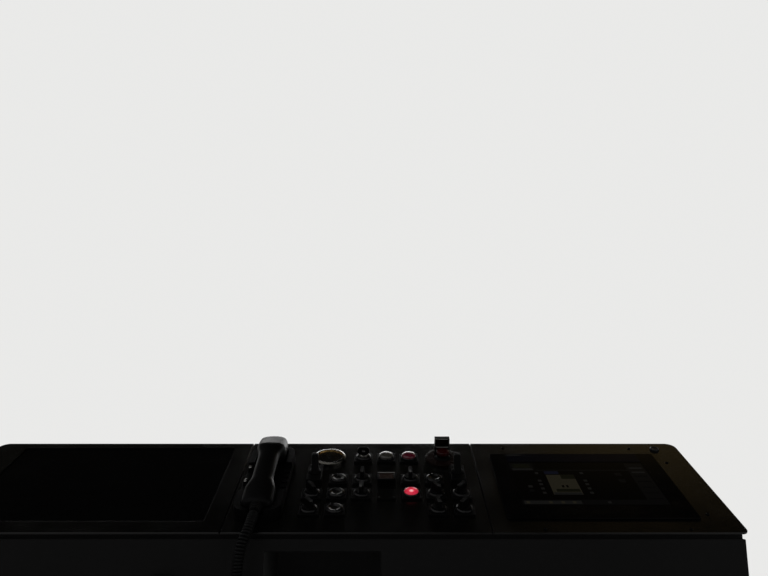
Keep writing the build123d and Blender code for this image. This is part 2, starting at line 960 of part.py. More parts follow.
# Rectangular indicator, blank plate and turn lock
with BuildPart() as indicator_block:
    with BuildSketch(panel):
        with Locations(*places("I")):
            Rectangle(indicator_width, indicator_length)
    extrude(amount=indicator_height)
    with BuildSketch(panel.offset(indicator_height)):
        with Locations(*places("I")):
            Rectangle(
                indicator_width - 2 * indicator_frame, indicator_length - 2 * indicator_frame
            )
    extrude(amount=-indicator_lens, mode=Mode.SUBTRACT)
indicator_block.part.label = "indicator_block"
export_step(indicator_block.part, "parts/indicator_block.step")

with BuildPart() as indicator_window:
    with BuildSketch(panel.offset(indicator_height)):
        with Locations(*places("I")):
            Rectangle(
                indicator_width - 2 * indicator_frame, indicator_length - 2 * indicator_frame
            )
    extrude(amount=-indicator_lens)
indicator_window.part.label = "indicator_window"
export_step(indicator_window.part, "parts/indicator_window.step")

with BuildPart() as blank_plate:
    with BuildSketch(panel):
        with Locations(*places("P")):
            Rectangle(blank_width, blank_length)
    extrude(amount=blank_height)
blank_plate.part.label = "blank_plate"
export_step(blank_plate.part, "parts/blank_plate.step")

with BuildPart() as panel_lock:
    with BuildSketch(panel):
        with Locations((top_half - panel_lock_side, slope_length - panel_lock_rear)):
            Circle(panel_lock_radius)
    extrude(amount=panel_lock_height, taper=10)
panel_lock.part.label = "panel_lock"
export_step(panel_lock.part, "parts/panel_lock.step")

# Handset cradle: a deck with a wall round each cup, lugs at its left edge and ribs at its right
cradle_rear = cradle_front + cradle_length
cradle_middle = (cradle_front + cradle_rear) / 2
handset_front = cradle_middle - handset_length / 2
handset_rear = cradle_middle + handset_length / 2
with BuildPart() as handset_cradle:
    with BuildSketch(panel):
        with Locations((handset_x, cradle_middle)):
            RectangleRounded(cradle_width, cradle_length, cradle_corner)
    extrude(amount=cradle_deck)
    with BuildSketch(panel.offset(cradle_deck)):
        with Locations((handset_x, cradle_middle)):
            RectangleRounded(cradle_width, cradle_length, cradle_corner)
            Rectangle(cradle_width, cradle_length - 2 * cup_length, mode=Mode.SUBTRACT)
            RectangleRounded(
                handset_width + 2 * cup_play,
                handset_length + 2 * cup_play,
                handset_corner + cup_play,
                mode=Mode.SUBTRACT,
            )
        patch(
            handset_x - boot_radius - cup_play,
            handset_x + boot_radius + cup_play,
            cradle_front,
            handset_front,
            mode=Mode.SUBTRACT,
        )
    extrude(amount=cradle_wall_top - cradle_deck)
    with BuildSketch(panel.offset(cradle_deck)):
        rib_x = handset_x + cradle_width / 2 - rib_width / 2 - 1
        for index in range(rib_count):
            with Locations((rib_x, cradle_front + rib_front + index * rib_pitch)):
                Rectangle(rib_width, rib_length)
    extrude(amount=rib_height)
    with BuildSketch(panel.offset(cradle_deck)):
        lug_x = handset_x - cradle_width / 2 + lug_width / 2 + 2
        for index in range(lug_count):
            with Locations((lug_x, cradle_front + lug_front + index * lug_pitch)):
                Rectangle(lug_width, lug_length)
    extrude(amount=lug_height, taper=base_draft)
handset_cradle.part.label = "handset_cradle"
export_step(handset_cradle.part, "parts/handset_cradle.step")

# Handset: its side view between the cup faces, round at its ends, waisted at the grip
cup_foot = cradle_deck + cup_rise
cup_inner = cup_length - 2 * cup_play
with BuildPart() as handset:
    with BuildSketch(upright(handset_x - handset_width / 2)):
        with BuildLine():
            crown = ThreePointArc(
                (handset_front, handset_top - 10),
                (cradle_middle, grip_top + 4),
                (handset_rear, handset_head),
            )
            Polyline(
                crown @ 1,
                (handset_rear, cup_foot),
                (handset_rear - cup_inner + 8, cup_foot),
                (handset_rear - cup_inner - 10, grip_under),
                (handset_front + cup_inner + 10, grip_under),
                (handset_front + cup_inner - 8, cup_foot),
                (handset_front, cup_foot),
                crown @ 0,
            )
        make_face()
    extrude(amount=handset_width)
    fillet(
        handset.edges().filter_by(lambda edge: abs(edge.tangent_at(0.5).dot(panel.z_dir)) > 0.999),
        radius=handset_corner,
    )
    with BuildSketch(panel):
        with Locations(
            (handset_x - handset_width / 2, cradle_middle),
            (handset_x + handset_width / 2, cradle_middle),
        ):
            SlotOverall(
                handset_length - 2 * cup_inner + waist_run_out,
                handset_width - grip_width,
                rotation=90,
            )
    extrude(amount=2 * handset_head, mode=Mode.SUBTRACT)
    upper = handset.faces().sort_by(lambda face: panel.to_local_coords(face.center()).Z)[-1]
    fillet(upper.edges(), radius=handset_edge)
handset.part.label = "handset"
export_step(handset.part, "parts/handset.step")

# Boot of the cord at the handset's lower end, a neck with ribs that shrink towards the cord
boot_height = (cup_foot + handset_top - 10) / 2
boot_plane = Plane(
    origin=panel.from_local_coords((handset_x, handset_front, boot_height)),
    x_dir=panel.x_dir,
    z_dir=-panel.y_dir,
)
with BuildPart() as cord_boot:
    with BuildSketch(boot_plane):
        Circle(boot_neck)
    extrude(amount=boot_length)
    rib_step = (boot_length + boot_gap) / boot_ribs
    for index in range(boot_ribs):
        with BuildSketch(boot_plane.offset(index * rib_step)):
            Circle(boot_radius + (boot_neck - boot_radius) * index / boot_ribs)
        extrude(amount=rib_step - boot_gap)
cord_boot.part.label = "cord_boot"
export_step(cord_boot.part, "parts/cord_boot.step")

# Gland on the apron, with its mouth pointing down
gland_x = seam_left - gland_offset
gland_y = front_y - gland_stand + cord_radius + 4
with BuildPart() as cord_gland:
    with BuildSketch(facing(front_y)):
        with Locations((gland_x, gland_foot + gland_height / 2)):
            RectangleRounded(gland_width, gland_height, gland_width * 0.2)
    extrude(amount=gland_flange)
    with BuildSketch(Plane.XY.offset(gland_foot)):
        with Locations((gland_x, gland_y)):
            Circle(cord_radius + 3)
        patch(gland_x - cord_radius - 3, gland_x + cord_radius + 3, gland_y, front_y - gland_flange)
    extrude(amount=gland_height * 0.8)
cord_gland.part.label = "cord_gland"
export_step(cord_gland.part, "parts/cord_gland.step")

# Curly cord as one fat tube along its route: over the front edge, a loop, up into the gland
boot_end = panel.from_local_coords((handset_x, handset_front - boot_length, boot_height))
over_edge = boot_end - panel.y_dir * 40
cord_route = [
    (boot_end.X, boot_end.Y, boot_end.Z),
    (over_edge.X, over_edge.Y, over_edge.Z),
    (handset_x - 12, front_y - 46, front_height - 20),
    (handset_x - 17, front_y - 40, front_height - 92),
    (gland_x + 124, front_y - 27, gland_foot - 50),
    (gland_x + 88, front_y - 26, gland_foot - 86),
    (gland_x + 36, front_y - 24, gland_foot - 86),
    (gland_x, gland_y, gland_foot - 50),
    (gland_x, gland_y, gland_foot),
]
route = [Vector(*point) for point in cord_route]
runs = [(b - a).length for a, b in zip(route, route[1:])]
radii = []
for index in range(1, len(route) - 1):
    turn = (route[index] - route[index - 1]).get_angle(route[index + 1] - route[index])
    shorter = min(runs[index - 1], runs[index])
    radii.append(0.45 * shorter / math.tan(math.radians(turn / 2)))
print("cord radii", [round(radius) for radius in radii])
with BuildPart() as handset_cord:
    with BuildLine() as cord_line:
        FilletPolyline(*cord_route, radius=radii)
    with BuildSketch(cord_line.line ^ 0):
        Circle(cord_radius)
    sweep()
cord_length = cord_line.wires()[0].length
tube_volume = math.pi * cord_radius**2 * cord_length
print("cord length", round(cord_length), "volume share", handset_cord.part.volume / tube_volume)
handset_cord.part.label = "handset_cord"
export_step(handset_cord.part, "parts/handset_cord.step")
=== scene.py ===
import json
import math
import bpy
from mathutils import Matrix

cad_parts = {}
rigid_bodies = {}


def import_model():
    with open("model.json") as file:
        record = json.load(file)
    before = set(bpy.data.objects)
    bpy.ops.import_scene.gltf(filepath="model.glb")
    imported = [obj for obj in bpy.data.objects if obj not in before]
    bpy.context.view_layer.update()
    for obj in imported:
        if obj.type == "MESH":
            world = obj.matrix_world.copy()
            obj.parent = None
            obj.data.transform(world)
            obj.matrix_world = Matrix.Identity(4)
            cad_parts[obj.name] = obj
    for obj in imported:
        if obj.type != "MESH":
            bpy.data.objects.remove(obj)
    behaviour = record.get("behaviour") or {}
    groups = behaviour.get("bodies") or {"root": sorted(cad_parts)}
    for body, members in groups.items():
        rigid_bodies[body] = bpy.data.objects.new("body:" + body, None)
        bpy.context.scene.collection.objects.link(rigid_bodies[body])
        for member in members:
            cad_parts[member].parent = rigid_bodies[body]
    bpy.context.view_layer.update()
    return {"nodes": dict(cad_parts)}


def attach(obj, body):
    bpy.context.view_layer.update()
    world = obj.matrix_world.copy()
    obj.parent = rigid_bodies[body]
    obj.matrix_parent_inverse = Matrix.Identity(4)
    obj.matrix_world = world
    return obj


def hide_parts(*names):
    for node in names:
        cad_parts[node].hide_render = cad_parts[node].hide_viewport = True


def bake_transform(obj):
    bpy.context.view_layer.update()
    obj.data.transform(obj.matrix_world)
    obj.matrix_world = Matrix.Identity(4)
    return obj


bl_info = {
    "name": "Driver's control desk",
    "version": (1, 0, 0),
    "blender": (4, 5, 0),
    "location": "View3D > Sidebar > Desk",
    "description": "Dresses a driver's control desk: finishes, screens, switches, handset and cord",
    "category": "Add Mesh",
}

import bmesh
import bpy
from mathutils import Euler, Matrix, Vector

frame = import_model()

# Places: shapes are drawn in millimetres on one of these, x across, y up it, z out of it
FRONT_EDGE = (0, -0.19, 0.85)
SLOPE = math.radians(25)
PANEL = Matrix.Translation(FRONT_EDGE) @ Matrix.Rotation(SLOPE, 4, "X")
BACK = Matrix.Rotation(math.pi, 4, "Z") @ Matrix.Rotation(math.pi / 2, 4, "X")

# Grid of the controls on the panel, in millimetres
FIRST_COLUMN = -33.7
COLUMN_PITCH = 45
ROWS = {1: 252, 2: 169, 3: 117, 4: 65}
# Controls: column and row
BLACK_BUTTONS = [(1, 2), (5, 2), (1, 3), (1, 4)]
# Selectors: column, row, turn of the knob in degrees
SELECTORS = [
    (2, 2, 0),
    (4, 2, 0),
    (0, 3, -35),
    (2, 3, 0),
    (5, 3, -35),
    (6, 3, 35),
    (0, 4, -35),
    (5, 4, -12),
    (6, 4, 35),
]
KEY = (2, 1)
WHITE_BUTTON = (3, 1)
RED_BUTTON = (4, 1)
LIT_BUTTON = (4, 3)
GAUGE = (0.5, 1)
EMERGENCY = (5.5, 1)
INDICATOR = (3, 2)
LEVER_COLUMNS = (0, 6)
BLANK = (3, 3)
HANDSET_X = -120
POINTS_TO_A_TURN = 14

CAMERA_PLACE = (0.097, -1.397, 1.028)
CAMERA_TILT = math.radians(100.89)


def spot(column, row):
    """Place of a control on the panel."""
    return Vector((FIRST_COLUMN + column * COLUMN_PITCH, ROWS[row], 0))


# ---- Materials -------------------------------------------------------------------------------


class Amount:
    """A number that flows through a node tree, so that maths on it is written as maths."""

    def __init__(self, nodes, socket):
        self.nodes = nodes
        self.socket = socket

    def worked(self, operation, *terms):
        node = self.nodes.node("ShaderNodeMath", {"operation": operation}, dict(enumerate(terms)))
        return Amount(self.nodes, node.outputs[0])

    def __add__(self, other):
        return self.worked("ADD", self, other)

    def __radd__(self, other):
        return self.worked("ADD", other, self)

    def __sub__(self, other):
        return self.worked("SUBTRACT", self, other)

    def __rsub__(self, other):
        return self.worked("SUBTRACT", other, self)

    def __mul__(self, other):
        return self.worked("MULTIPLY", self, other)

    def __rmul__(self, other):
        return self.worked("MULTIPLY", other, self)

    def most(self, other):
        return self.worked("MAXIMUM", self, other)


class Nodes:
    """The node tree of a material or a world, under construction."""

    def __init__(self, owner):
        owner.use_nodes = True
        self.tree = owner.node_tree
        self.tree.nodes.clear()

    def node(self, kind, settings=None, values=None):
        """Adds a node by its type, with its settings first and then its sockets."""
        node = self.tree.nodes.new(kind)
        for key, value in (settings or {}).items():
            if key == "stops":
                ramp = node.color_ramp.elements
                while len(ramp) < len(value):
                    ramp.new(0.5)
                for stop, (position, colour) in zip(ramp, value):
                    stop.position = position
                    stop.color = (*colour, 1)
            else:
                setattr(node, key, value)
        for key, value in (values or {}).items():
            socket = node.inputs[key]
            if isinstance(value, Amount):
                value = value.socket
            if isinstance(value, bpy.types.NodeSocket):
                self.tree.links.new(value, socket)
            elif socket.type == "RGBA":
                socket.default_value = (*value, 1)
            else:
                socket.default_value = value
        return node

    def amounts(self, kind, *outputs, values=None):
        """Adds a node and gives some of its outputs as numbers."""
        node = self.node(kind, {}, values)
        return [Amount(self, node.outputs[name]) for name in outputs]

    def band(self, amount, low, high):
        """0 under low, 1 over high and smooth between."""
        settings = {"interpolation_type": "SMOOTHSTEP"}
        values = {"Value": amount, "From Min": low, "From Max": high}
        return Amount(self, self.node("ShaderNodeMapRange", settings, values).outputs[0])

    def mix(self, share, first, second):
        """Colour from first to second."""
        values = {0: share, 6: first, 7: second}
        return self.node("ShaderNodeMix", {"data_type": "RGBA"}, values).outputs[2]


class Finish(Nodes):
    """A surface finish under construction, on one Principled shader."""

    def __init__(self, name, **fixed):
        self.material = bpy.data.materials.new(name)
        super().__init__(self.material)
        values = {key.replace("_", " "): value for key, value in fixed.items()}
        self.shader = self.node("ShaderNodeBsdfPrincipled", {}, values)
        self.node("ShaderNodeOutputMaterial", {}, {"Surface": self.shader.outputs[0]})
        self.place = self.node("ShaderNodeTexCoord").outputs["Object"]

    def noise(self, scale, detail=2.0, roughness=0.5, place=None):
        """Cloudy pattern, from 0 to 1, with about scale spots to a metre."""
        values = {
            "Vector": place or self.place,
            "Scale": scale,
            "Detail": detail,
            "Roughness": roughness,
        }
        return Amount(self, self.node("ShaderNodeTexNoise", {}, values).outputs[0])

    def drawn(self, scale, detail, roughness, stretch):
        """Noise stretched across the desk, for brushed and wiped patterns on the slope."""
        values = {"Vector": self.place, "Rotation": (SLOPE, 0, 0), "Scale": (stretch, 1, 1)}
        place = self.node("ShaderNodeMapping", {"vector_type": "TEXTURE"}, values).outputs[0]
        return self.noise(scale, detail, roughness, place)

    def far(self, point):
        """Distance from a point, in metres."""
        settings = {"operation": "DISTANCE"}
        values = {0: self.place, 1: tuple(point)}
        return Amount(self, self.node("ShaderNodeVectorMath", settings, values).outputs["Value"])

    def rounded(self, radius):
        """Normal that rounds every edge by a radius, in metres."""
        return self.node("ShaderNodeBevel", {"samples": 6}, {"Radius": radius}).outputs[0]

    def worn(self, normal):
        """Mask of the edges, from a rounded normal."""
        flat = self.node("ShaderNodeNewGeometry").outputs["True Normal"]
        node = self.node("ShaderNodeVectorMath", {"operation": "DOT_PRODUCT"}, {0: normal, 1: flat})
        return self.band(1 - Amount(self, node.outputs["Value"]), 0.01, 0.16)

    def relief(self, height, depth, strength, normal=None):
        """Bump of a depth in metres."""
        values = {"Height": height, "Distance": depth, "Strength": strength}
        if normal is not None:
            values["Normal"] = normal
        return self.node("ShaderNodeBump", {}, values).outputs[0]

    def surface(self, **sockets):
        """Feeds what changes over the surface to the shader."""
        for key, value in sockets.items():
            if isinstance(value, Amount):
                value = value.socket
            self.tree.links.new(value, self.shader.inputs[key.replace("_", " ")])


def tint(colour, share):
    """Colour made darker or lighter."""
    return tuple(min(1.0, channel * share) for channel in colour)


def powder_coat(name, colour, roughness, fleck, grain, gloss):
    """Fine textured powder coat: grain, faint flecks, smudges and edges rubbed paler."""
    finish = Finish(name, Specular_IOR_Level=gloss)
    soft = finish.rounded(0.0004)
    worn = finish.worn(soft) * finish.band(finish.noise(38, 4, 0.65), 0.36, 0.6)
    speck = finish.band(finish.noise(grain * 1.7, 1), 0.6, 0.72)
    smudge = finish.noise(13, 6, 0.62)
    tone = finish.mix(finish.noise(4, 3), tint(colour, 0.84), tint(colour, 1.18))
    tone = finish.mix(speck * fleck, tone, tint(colour, 3.4))
    finish.surface(
        Base_Color=finish.mix(worn * 0.2, tone, (0.06, 0.058, 0.054)),
        Roughness=roughness + (smudge - 0.5) * 0.26 - worn * 0.1,
        Normal=finish.relief(finish.noise(grain, 3, 0.6), 0.00016, 0.42, soft),
    )


def moulded_plastic(name, colour, roughness, grain, edge, depth, gloss):
    """Moulded plastic with a spark-etched skin, scuffed and unevenly smooth."""
    finish = Finish(name, Specular_IOR_Level=gloss)
    soft = finish.rounded(edge) if edge else None
    smudge = finish.noise(46, 5, 0.6)
    scuff = finish.band(finish.drawn(420, 4, 0.7, 3), 0.62, 0.76)
    tone = finish.mix(finish.noise(22, 3), tint(colour, 0.78), tint(colour, 1.25))
    finish.surface(
        Base_Color=finish.mix(scuff * 0.3, tone, tint(colour, 2.2)),
        Roughness=roughness + (smudge - 0.5) * 0.2 + scuff * 0.1,
        Normal=finish.relief(finish.noise(grain, 2, 0.6), depth, 0.5, soft),
    )


def rubber(name, colour):
    """Soft black rubber with patches of bloom."""
    finish = Finish(name, Specular_IOR_Level=0.12)
    bloom = finish.band(finish.noise(60, 5, 0.65), 0.48, 0.7)
    finish.surface(
        Base_Color=finish.mix(bloom * 0.5, colour, tint(colour, 2.1)),
        Roughness=0.5 + bloom * 0.18,
        Normal=finish.relief(finish.noise(1800, 2), 0.00005, 0.4),
    )


def plated_steel(name, colour, roughness):
    """Plated steel with drawn scratches, finger marks and darker pits."""
    finish = Finish(name, Metallic=1.0)
    scratch = finish.drawn(90, 4, 0.7, 14)
    marks = finish.band(finish.noise(120, 5, 0.7), 0.5, 0.72)
    finish.surface(
        Base_Color=finish.mix(marks * 0.5, colour, tint(colour, 0.55)),
        Roughness=roughness + (scratch - 0.5) * 0.16 + marks * 0.16,
        Normal=finish.relief(scratch, 0.00003, 0.3, finish.rounded(0.0004)),
    )


def black_glass(name, colour, roughness):
    """Dark glass with wiped smears and dust."""
    finish = Finish(name, IOR=1.5, Specular_IOR_Level=0.035)
    smear = finish.drawn(7, 6, 0.66, 2.2)
    dust = finish.band(finish.noise(820, 2), 0.66, 0.78)
    tone = finish.mix(smear, tint(colour, 0.8), tint(colour, 1.5))
    finish.surface(
        Base_Color=finish.mix(dust * 0.35, tone, (0.09, 0.088, 0.08)),
        Roughness=roughness + finish.band(smear, 0.45, 0.75) * 0.14 + dust * 0.2,
        Normal=finish.relief(smear, 0.00002, 0.05),
    )


def clear_glass(name):
    """Clear glass of the gauge with faint smears."""
    finish = Finish(name, Transmission_Weight=1.0, IOR=1.45, Specular_IOR_Level=0.15)
    smear = finish.noise(95, 4, 0.6)
    finish.surface(
        Base_Color=finish.mix(smear, (0.93, 0.95, 0.95), (1.0, 1.0, 1.0)),
        Roughness=0.015 + finish.band(smear, 0.5, 0.8) * 0.05,
    )


def button_lens(name, colour, gloss):
    """Moulded lens, cloudy in its colour, with fine scratches and paler edges."""
    finish = Finish(name, Specular_IOR_Level=gloss)
    soft = finish.rounded(0.0009)
    scratch = finish.drawn(240, 5, 0.75, 5)
    tone = finish.mix(finish.noise(60, 3), tint(colour, 0.74), tint(colour, 1.12))
    finish.surface(
        Base_Color=finish.mix(finish.worn(soft) * 0.35, tone, tint(colour, 1.8)),
        Roughness=0.2 + finish.band(scratch, 0.5, 0.75) * 0.2,
        Normal=finish.relief(scratch, 0.00002, 0.2, soft),
    )


def glowing_lens(name, centre, core, rim, reach, light):
    """Lens lit from behind, palest at its middle."""
    finish = Finish(name, Specular_IOR_Level=0.6, Emission_Strength=light)
    stops = [(0.0, core), (0.1, core), (0.38, rim), (1.0, tint(rim, 0.4))]
    share = finish.far(centre) * (1 / reach)
    glow = finish.node("ShaderNodeValToRGB", {"stops": stops}, {"Fac": share})
    finish.surface(
        Base_Color=finish.mix(finish.noise(90, 3), tint(rim, 0.5), tint(rim, 0.62)),
        Emission_Color=glow.outputs[0],
        Roughness=0.2 + finish.noise(260, 4) * 0.12,
    )


def printed(name, colour, light, roughness, gloss):
    """Printed or lit mark: even colour with fine unevenness of the ink."""
    finish = Finish(name, Emission_Strength=light, Specular_IOR_Level=gloss)
    tone = finish.mix(finish.noise(650, 3), tint(colour, 0.84), tint(colour, 1.08))
    finish.surface(
        Base_Color=tone,
        Emission_Color=tone,
        Roughness=roughness + finish.noise(300, 2) * 0.06,
    )


def make_finishes(look):
    """Makes every finish, from the colours of the look."""
    lit_centre = PANEL @ ((spot(*LIT_BUTTON) + Vector((0, -3.5, 11.5))) * 0.001)
    display = (0.6, 0.12, 0.03)
    tables = {
        # Coats: colour, roughness, share of flecks, grains to a metre, gloss
        powder_coat: {
            "cabinet coat": (look.cabinet, 0.56, 0.4, 1100, 0.14),
            "top coat": (look.top, 0.2, 0.2, 1500, 0.3),
            "black paint": (look.inside, 0.6, 0.1, 1100, 0.15),
        },
        # Plastics: colour, roughness, grains to a metre, edge and depth in metres, gloss
        moulded_plastic: {
            "black plastic": (look.plastic, 0.36, 2600, 0.0007, 0.00005, 0.2),
            "smooth black plastic": (look.plastic, 0.28, 1800, 0.0009, 0.00002, 0.25),
            "coarse black plastic": (look.plastic, 0.5, 1300, 0.001, 0.0001, 0.12),
            "dull black plastic": (tint(look.plastic, 0.7), 0.55, 1900, 0.0006, 0.00006, 0.05),
            "handset plastic": (tint(look.plastic, 0.6), 0.42, 2200, 0, 0.00004, 0.07),
            "inner plastic": ((0.03, 0.03, 0.033), 0.5, 2600, 0.0007, 0.00005, 0.3),
        },
        # Rubber: colour
        rubber: {"black rubber": ((0.0026, 0.0026, 0.0028),)},
        # Metals: colour, roughness
        plated_steel: {
            "plated steel": (look.metal, 0.2),
            "dark chrome": ((0.13, 0.125, 0.11), 0.22),
            "dark steel": ((0.035, 0.035, 0.036), 0.4),
            "yellow brass": ((0.7, 0.44, 0.15), 0.24),
        },
        # Glass: colour, roughness
        black_glass: {
            "screen glass": ((0.0022, 0.0022, 0.0023), 0.09),
            "panel glass": ((0.0012, 0.0012, 0.0014), 0.12),
            "title glass": ((0.0012, 0.0016, 0.0045), 0.14),
        },
        clear_glass: {"gauge glass": ()},
        # Lenses: colour, gloss
        button_lens: {
            "white lens": ((0.045, 0.042, 0.034), 0.6),
            "red lens": ((0.1, 0.005, 0.015), 0.6),
            "mushroom red": ((0.024, 0.0018, 0.0022), 0.3),
            "dark red lens": ((0.0065, 0.0028, 0.0024), 0.12),
            "smoked lens": ((0.02, 0.009, 0.006), 0.6),
        },
        # Lit lens: centre, colours at the core and the rim, reach in metres, light
        glowing_lens: {
            "lit lens": (lit_centre, (1.0, 0.5, 0.5), (0.6, 0.018, 0.05), 0.014, 0.9),
        },
        # Prints: colour, light, roughness, gloss
        printed: {
            "dial face": ((0.0048, 0.0046, 0.0026), 0, 0.4, 0.1),
            "white print": ((0.2, 0.2, 0.19), 0, 0.4, 0.3),
            "display beige": ((0.0138, 0.0124, 0.0082), *display),
            "display olive": ((0.0034, 0.0036, 0.0021), *display),
            "display grey": ((0.002, 0.002, 0.0021), *display),
            "display blue": ((0.0034, 0.004, 0.0085), *display),
            "display light": ((0.0065, 0.0065, 0.0063), *display),
            "display dark": ((0.0007, 0.0007, 0.0008), 0.3, 0.12, 0.03),
        },
    }
    for maker, table in tables.items():
        for name, values in table.items():
            maker(name, *values)


def finish_named(name):
    """A finish, with all of them made when the first is asked for."""
    if name not in bpy.data.materials:
        make_finishes(bpy.context.scene.desk_look)
    return bpy.data.materials[name]


def dress(name, *nodes):
    """Gives CAD nodes that stay their finish."""
    for node in nodes:
        faces = frame["nodes"][node].data
        faces.materials.clear()
        faces.materials.append(finish_named(name))


# ---- Shapes ----------------------------------------------------------------------------------


def span(width):
    """Both ends of a width that has its middle at nought."""
    return (-width / 2, width / 2)


def block(x, y, z, corner=0.0, rim=0.0, draft=0.0, steps=3):
    """Block between two values of x, y and z: upright corners, then its top rim, rounded."""
    shape = bmesh.new()
    middle = Vector((sum(x) / 2, sum(y) / 2, sum(z) / 2))
    size = Vector((x[1] - x[0], y[1] - y[0], z[1] - z[0]))
    bmesh.ops.create_cube(shape, size=1, matrix=Matrix.LocRotScale(middle, None, size))
    if draft:
        upper = [vert for vert in shape.verts if vert.co.z > middle.z]
        share = (1 - 2 * draft / size.x, 1 - 2 * draft / size.y, 1)
        space = Matrix.Translation(-middle)
        bmesh.ops.scale(shape, vec=share, space=space, verts=upper)
    if corner:
        edges = [
            edge
            for edge in shape.edges
            if abs(edge.verts[0].co.z - edge.verts[1].co.z) > size.z / 2
        ]
        soften(shape, edges, corner, steps)
    if rim:
        edges = [
            edge for edge in shape.edges if min(vert.co.z for vert in edge.verts) > z[1] - 0.001
        ]
        soften(shape, edges, rim, steps)
    return shape


def soften(shape, edges, radius, steps=3):
    """Rounds edges."""
    bmesh.ops.bevel(
        shape,
        geom=edges,
        affect="EDGES",
        offset=radius,
        segments=steps,
        profile=0.5,
        material=-1,
        clamp_overlap=True,
    )


def turned(profile, steps=40, closed=False):
    """Round piece from its half outline of (radius, height) points."""
    shape = bmesh.new()
    verts = [shape.verts.new((radius, 0, height)) for radius, height in profile]
    pairs = list(zip(verts, verts[1:] + verts[:1] if closed else verts[1:]))
    edges = [shape.edges.new(pair) for pair in pairs]
    bmesh.ops.spin(
        shape,
        geom=verts + edges,
        cent=(0, 0, 0),
        axis=(0, 0, 1),
        dvec=(0, 0, 0),
        angle=math.tau,
        steps=steps,
        use_merge=True,
        use_duplicate=False,
    )
    bmesh.ops.remove_doubles(shape, verts=shape.verts, dist=0.001)
    bmesh.ops.recalc_face_normals(shape, faces=shape.faces)
    return shape


def lofted(stations):
    """Long body from (y, half width, low, high, corner) sections, each an octagon."""
    shape = bmesh.new()
    face = None
    for y, half, low, high, corner in stations:
        ring = [
            (half, low + corner),
            (half, high - corner),
            (half - corner, high),
            (corner - half, high),
            (-half, high - corner),
            (-half, low + corner),
            (corner - half, low),
            (half - corner, low),
        ]
        if face is None:
            verts = [shape.verts.new((x, y, z)) for x, z in ring]
            face = shape.faces.new(verts)
            continue
        first = len(shape.faces) == 1
        grown = bmesh.ops.extrude_face_region(shape, geom=[face], use_keep_orig=first)
        face = next(item for item in grown["geom"] if isinstance(item, bmesh.types.BMFace))
        for loop, (x, z) in zip(face.loops, ring):
            loop.vert.co = (x, y, z)
    bmesh.ops.recalc_face_normals(shape, faces=shape.faces)
    return shape


def mesh_of(data, levels=0):
    """Mesh of a curve, a text or a mesh, after a number of rounds of subdivision."""
    holder = bpy.data.objects.new("holder", data)
    bpy.context.scene.collection.objects.link(holder)
    if levels:
        modifier = holder.modifiers.new("smooth", "SUBSURF")
        modifier.levels = modifier.render_levels = levels
    finished = holder.evaluated_get(bpy.context.evaluated_depsgraph_get())
    mesh = bpy.data.meshes.new_from_object(finished)
    bpy.data.batch_remove((holder, data))
    return mesh


def shape_of(mesh):
    """Shape from a mesh, which is used up."""
    shape = bmesh.new()
    shape.from_mesh(mesh)
    bpy.data.meshes.remove(mesh)
    return shape


def smoothed(shape, levels):
    """Shape after a number of rounds of subdivision."""
    rough = bpy.data.meshes.new("rough")
    shape.to_mesh(rough)
    shape.free()
    return shape_of(mesh_of(rough, levels))


def recess(shape, face, margin, depth):
    """Sinks the middle of a face, with a margin left round it."""
    bmesh.ops.inset_region(shape, faces=[face], thickness=margin, use_even_offset=True)
    bmesh.ops.inset_region(shape, faces=[face], thickness=0.01, depth=-depth)


def creases(shape):
    """Edges where a shape turns by more than 30 degrees."""
    return [edge for edge in shape.edges if edge.calc_face_angle(0) > math.radians(30)]


def eased(value, low, high):
    """0 under low, 1 over high and smooth between, for plain numbers."""
    share = min(1.0, max(0.0, (value - low) / (high - low)))
    return share * share * (3 - 2 * share)


def moved(shape, place=(0, 0, 0), turn=0.0, tilt=0.0):
    """Shape tilted about x, turned about z and moved."""
    turning = Euler((math.radians(tilt), 0, math.radians(turn)))
    shape.transform(Matrix.LocRotScale(Vector(place), turning, None))
    return shape


def joined(*shapes):
    """One shape from several; a pair gives a shape the number of its finish."""
    whole = bmesh.new()
    for shape in shapes:
        part, number = shape if isinstance(shape, tuple) else (shape, 0)
        for face in part.faces:
            face.material_index = number
        carrier = bpy.data.meshes.new("carrier")
        part.to_mesh(carrier)
        part.free()
        whole.from_mesh(carrier)
        bpy.data.meshes.remove(carrier)
    return whole


def lettered(text, height, thickness):
    """Plain numbers as a thin shape, centred."""
    writing = bpy.data.curves.new("writing", "FONT")
    writing.body = text
    writing.size = height
    writing.extrude = thickness / 2
    writing.align_x = writing.align_y = "CENTER"
    writing.resolution_u = 2
    return shape_of(mesh_of(writing))


def screw_head(radius, height):
    """Domed socket screw head."""
    # Shares of the radius and of the height, from the socket out and down
    shares = [(0, 0.35), (0.42, 0.35), (0.48, 0.95), (0.72, 1), (0.93, 0.62), (1, 0), (0, 0)]
    return turned([(radius * across, height * up) for across, up in shares], 20)


def piece(name, shape, finishes, body="desk", place=PANEL, replaces=(), sharp=38):
    """Puts a shape in the scene as a piece of the desk, riding on a body."""
    shape.transform(place @ Matrix.Scale(0.001, 4))
    mesh = bpy.data.meshes.new(name)
    shape.to_mesh(mesh)
    shape.free()
    for finish in finishes:
        mesh.materials.append(finish_named(finish))
    mesh.shade_smooth()
    mesh.set_sharp_from_angle(angle=math.radians(sharp))
    thing = bpy.data.objects.new(name, mesh)
    bpy.context.scene.collection.objects.link(thing)
    thing.modifiers.new("even shading", "WEIGHTED_NORMAL").keep_sharp = True
    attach(thing, body)
    if replaces:
        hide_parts(*replaces)


# ---- Settings --------------------------------------------------------------------------------


def colour_of(name, text, default):
    """Colour setting."""
    return bpy.props.FloatVectorProperty(
        name=name, description=text, subtype="COLOR", size=3, min=0, max=1, default=default
    )


def length_of(name, text, default):
    """Length setting in metres."""
    return bpy.props.FloatProperty(
        name=name, description=text, subtype="DISTANCE", unit="LENGTH", min=0, default=default
    )


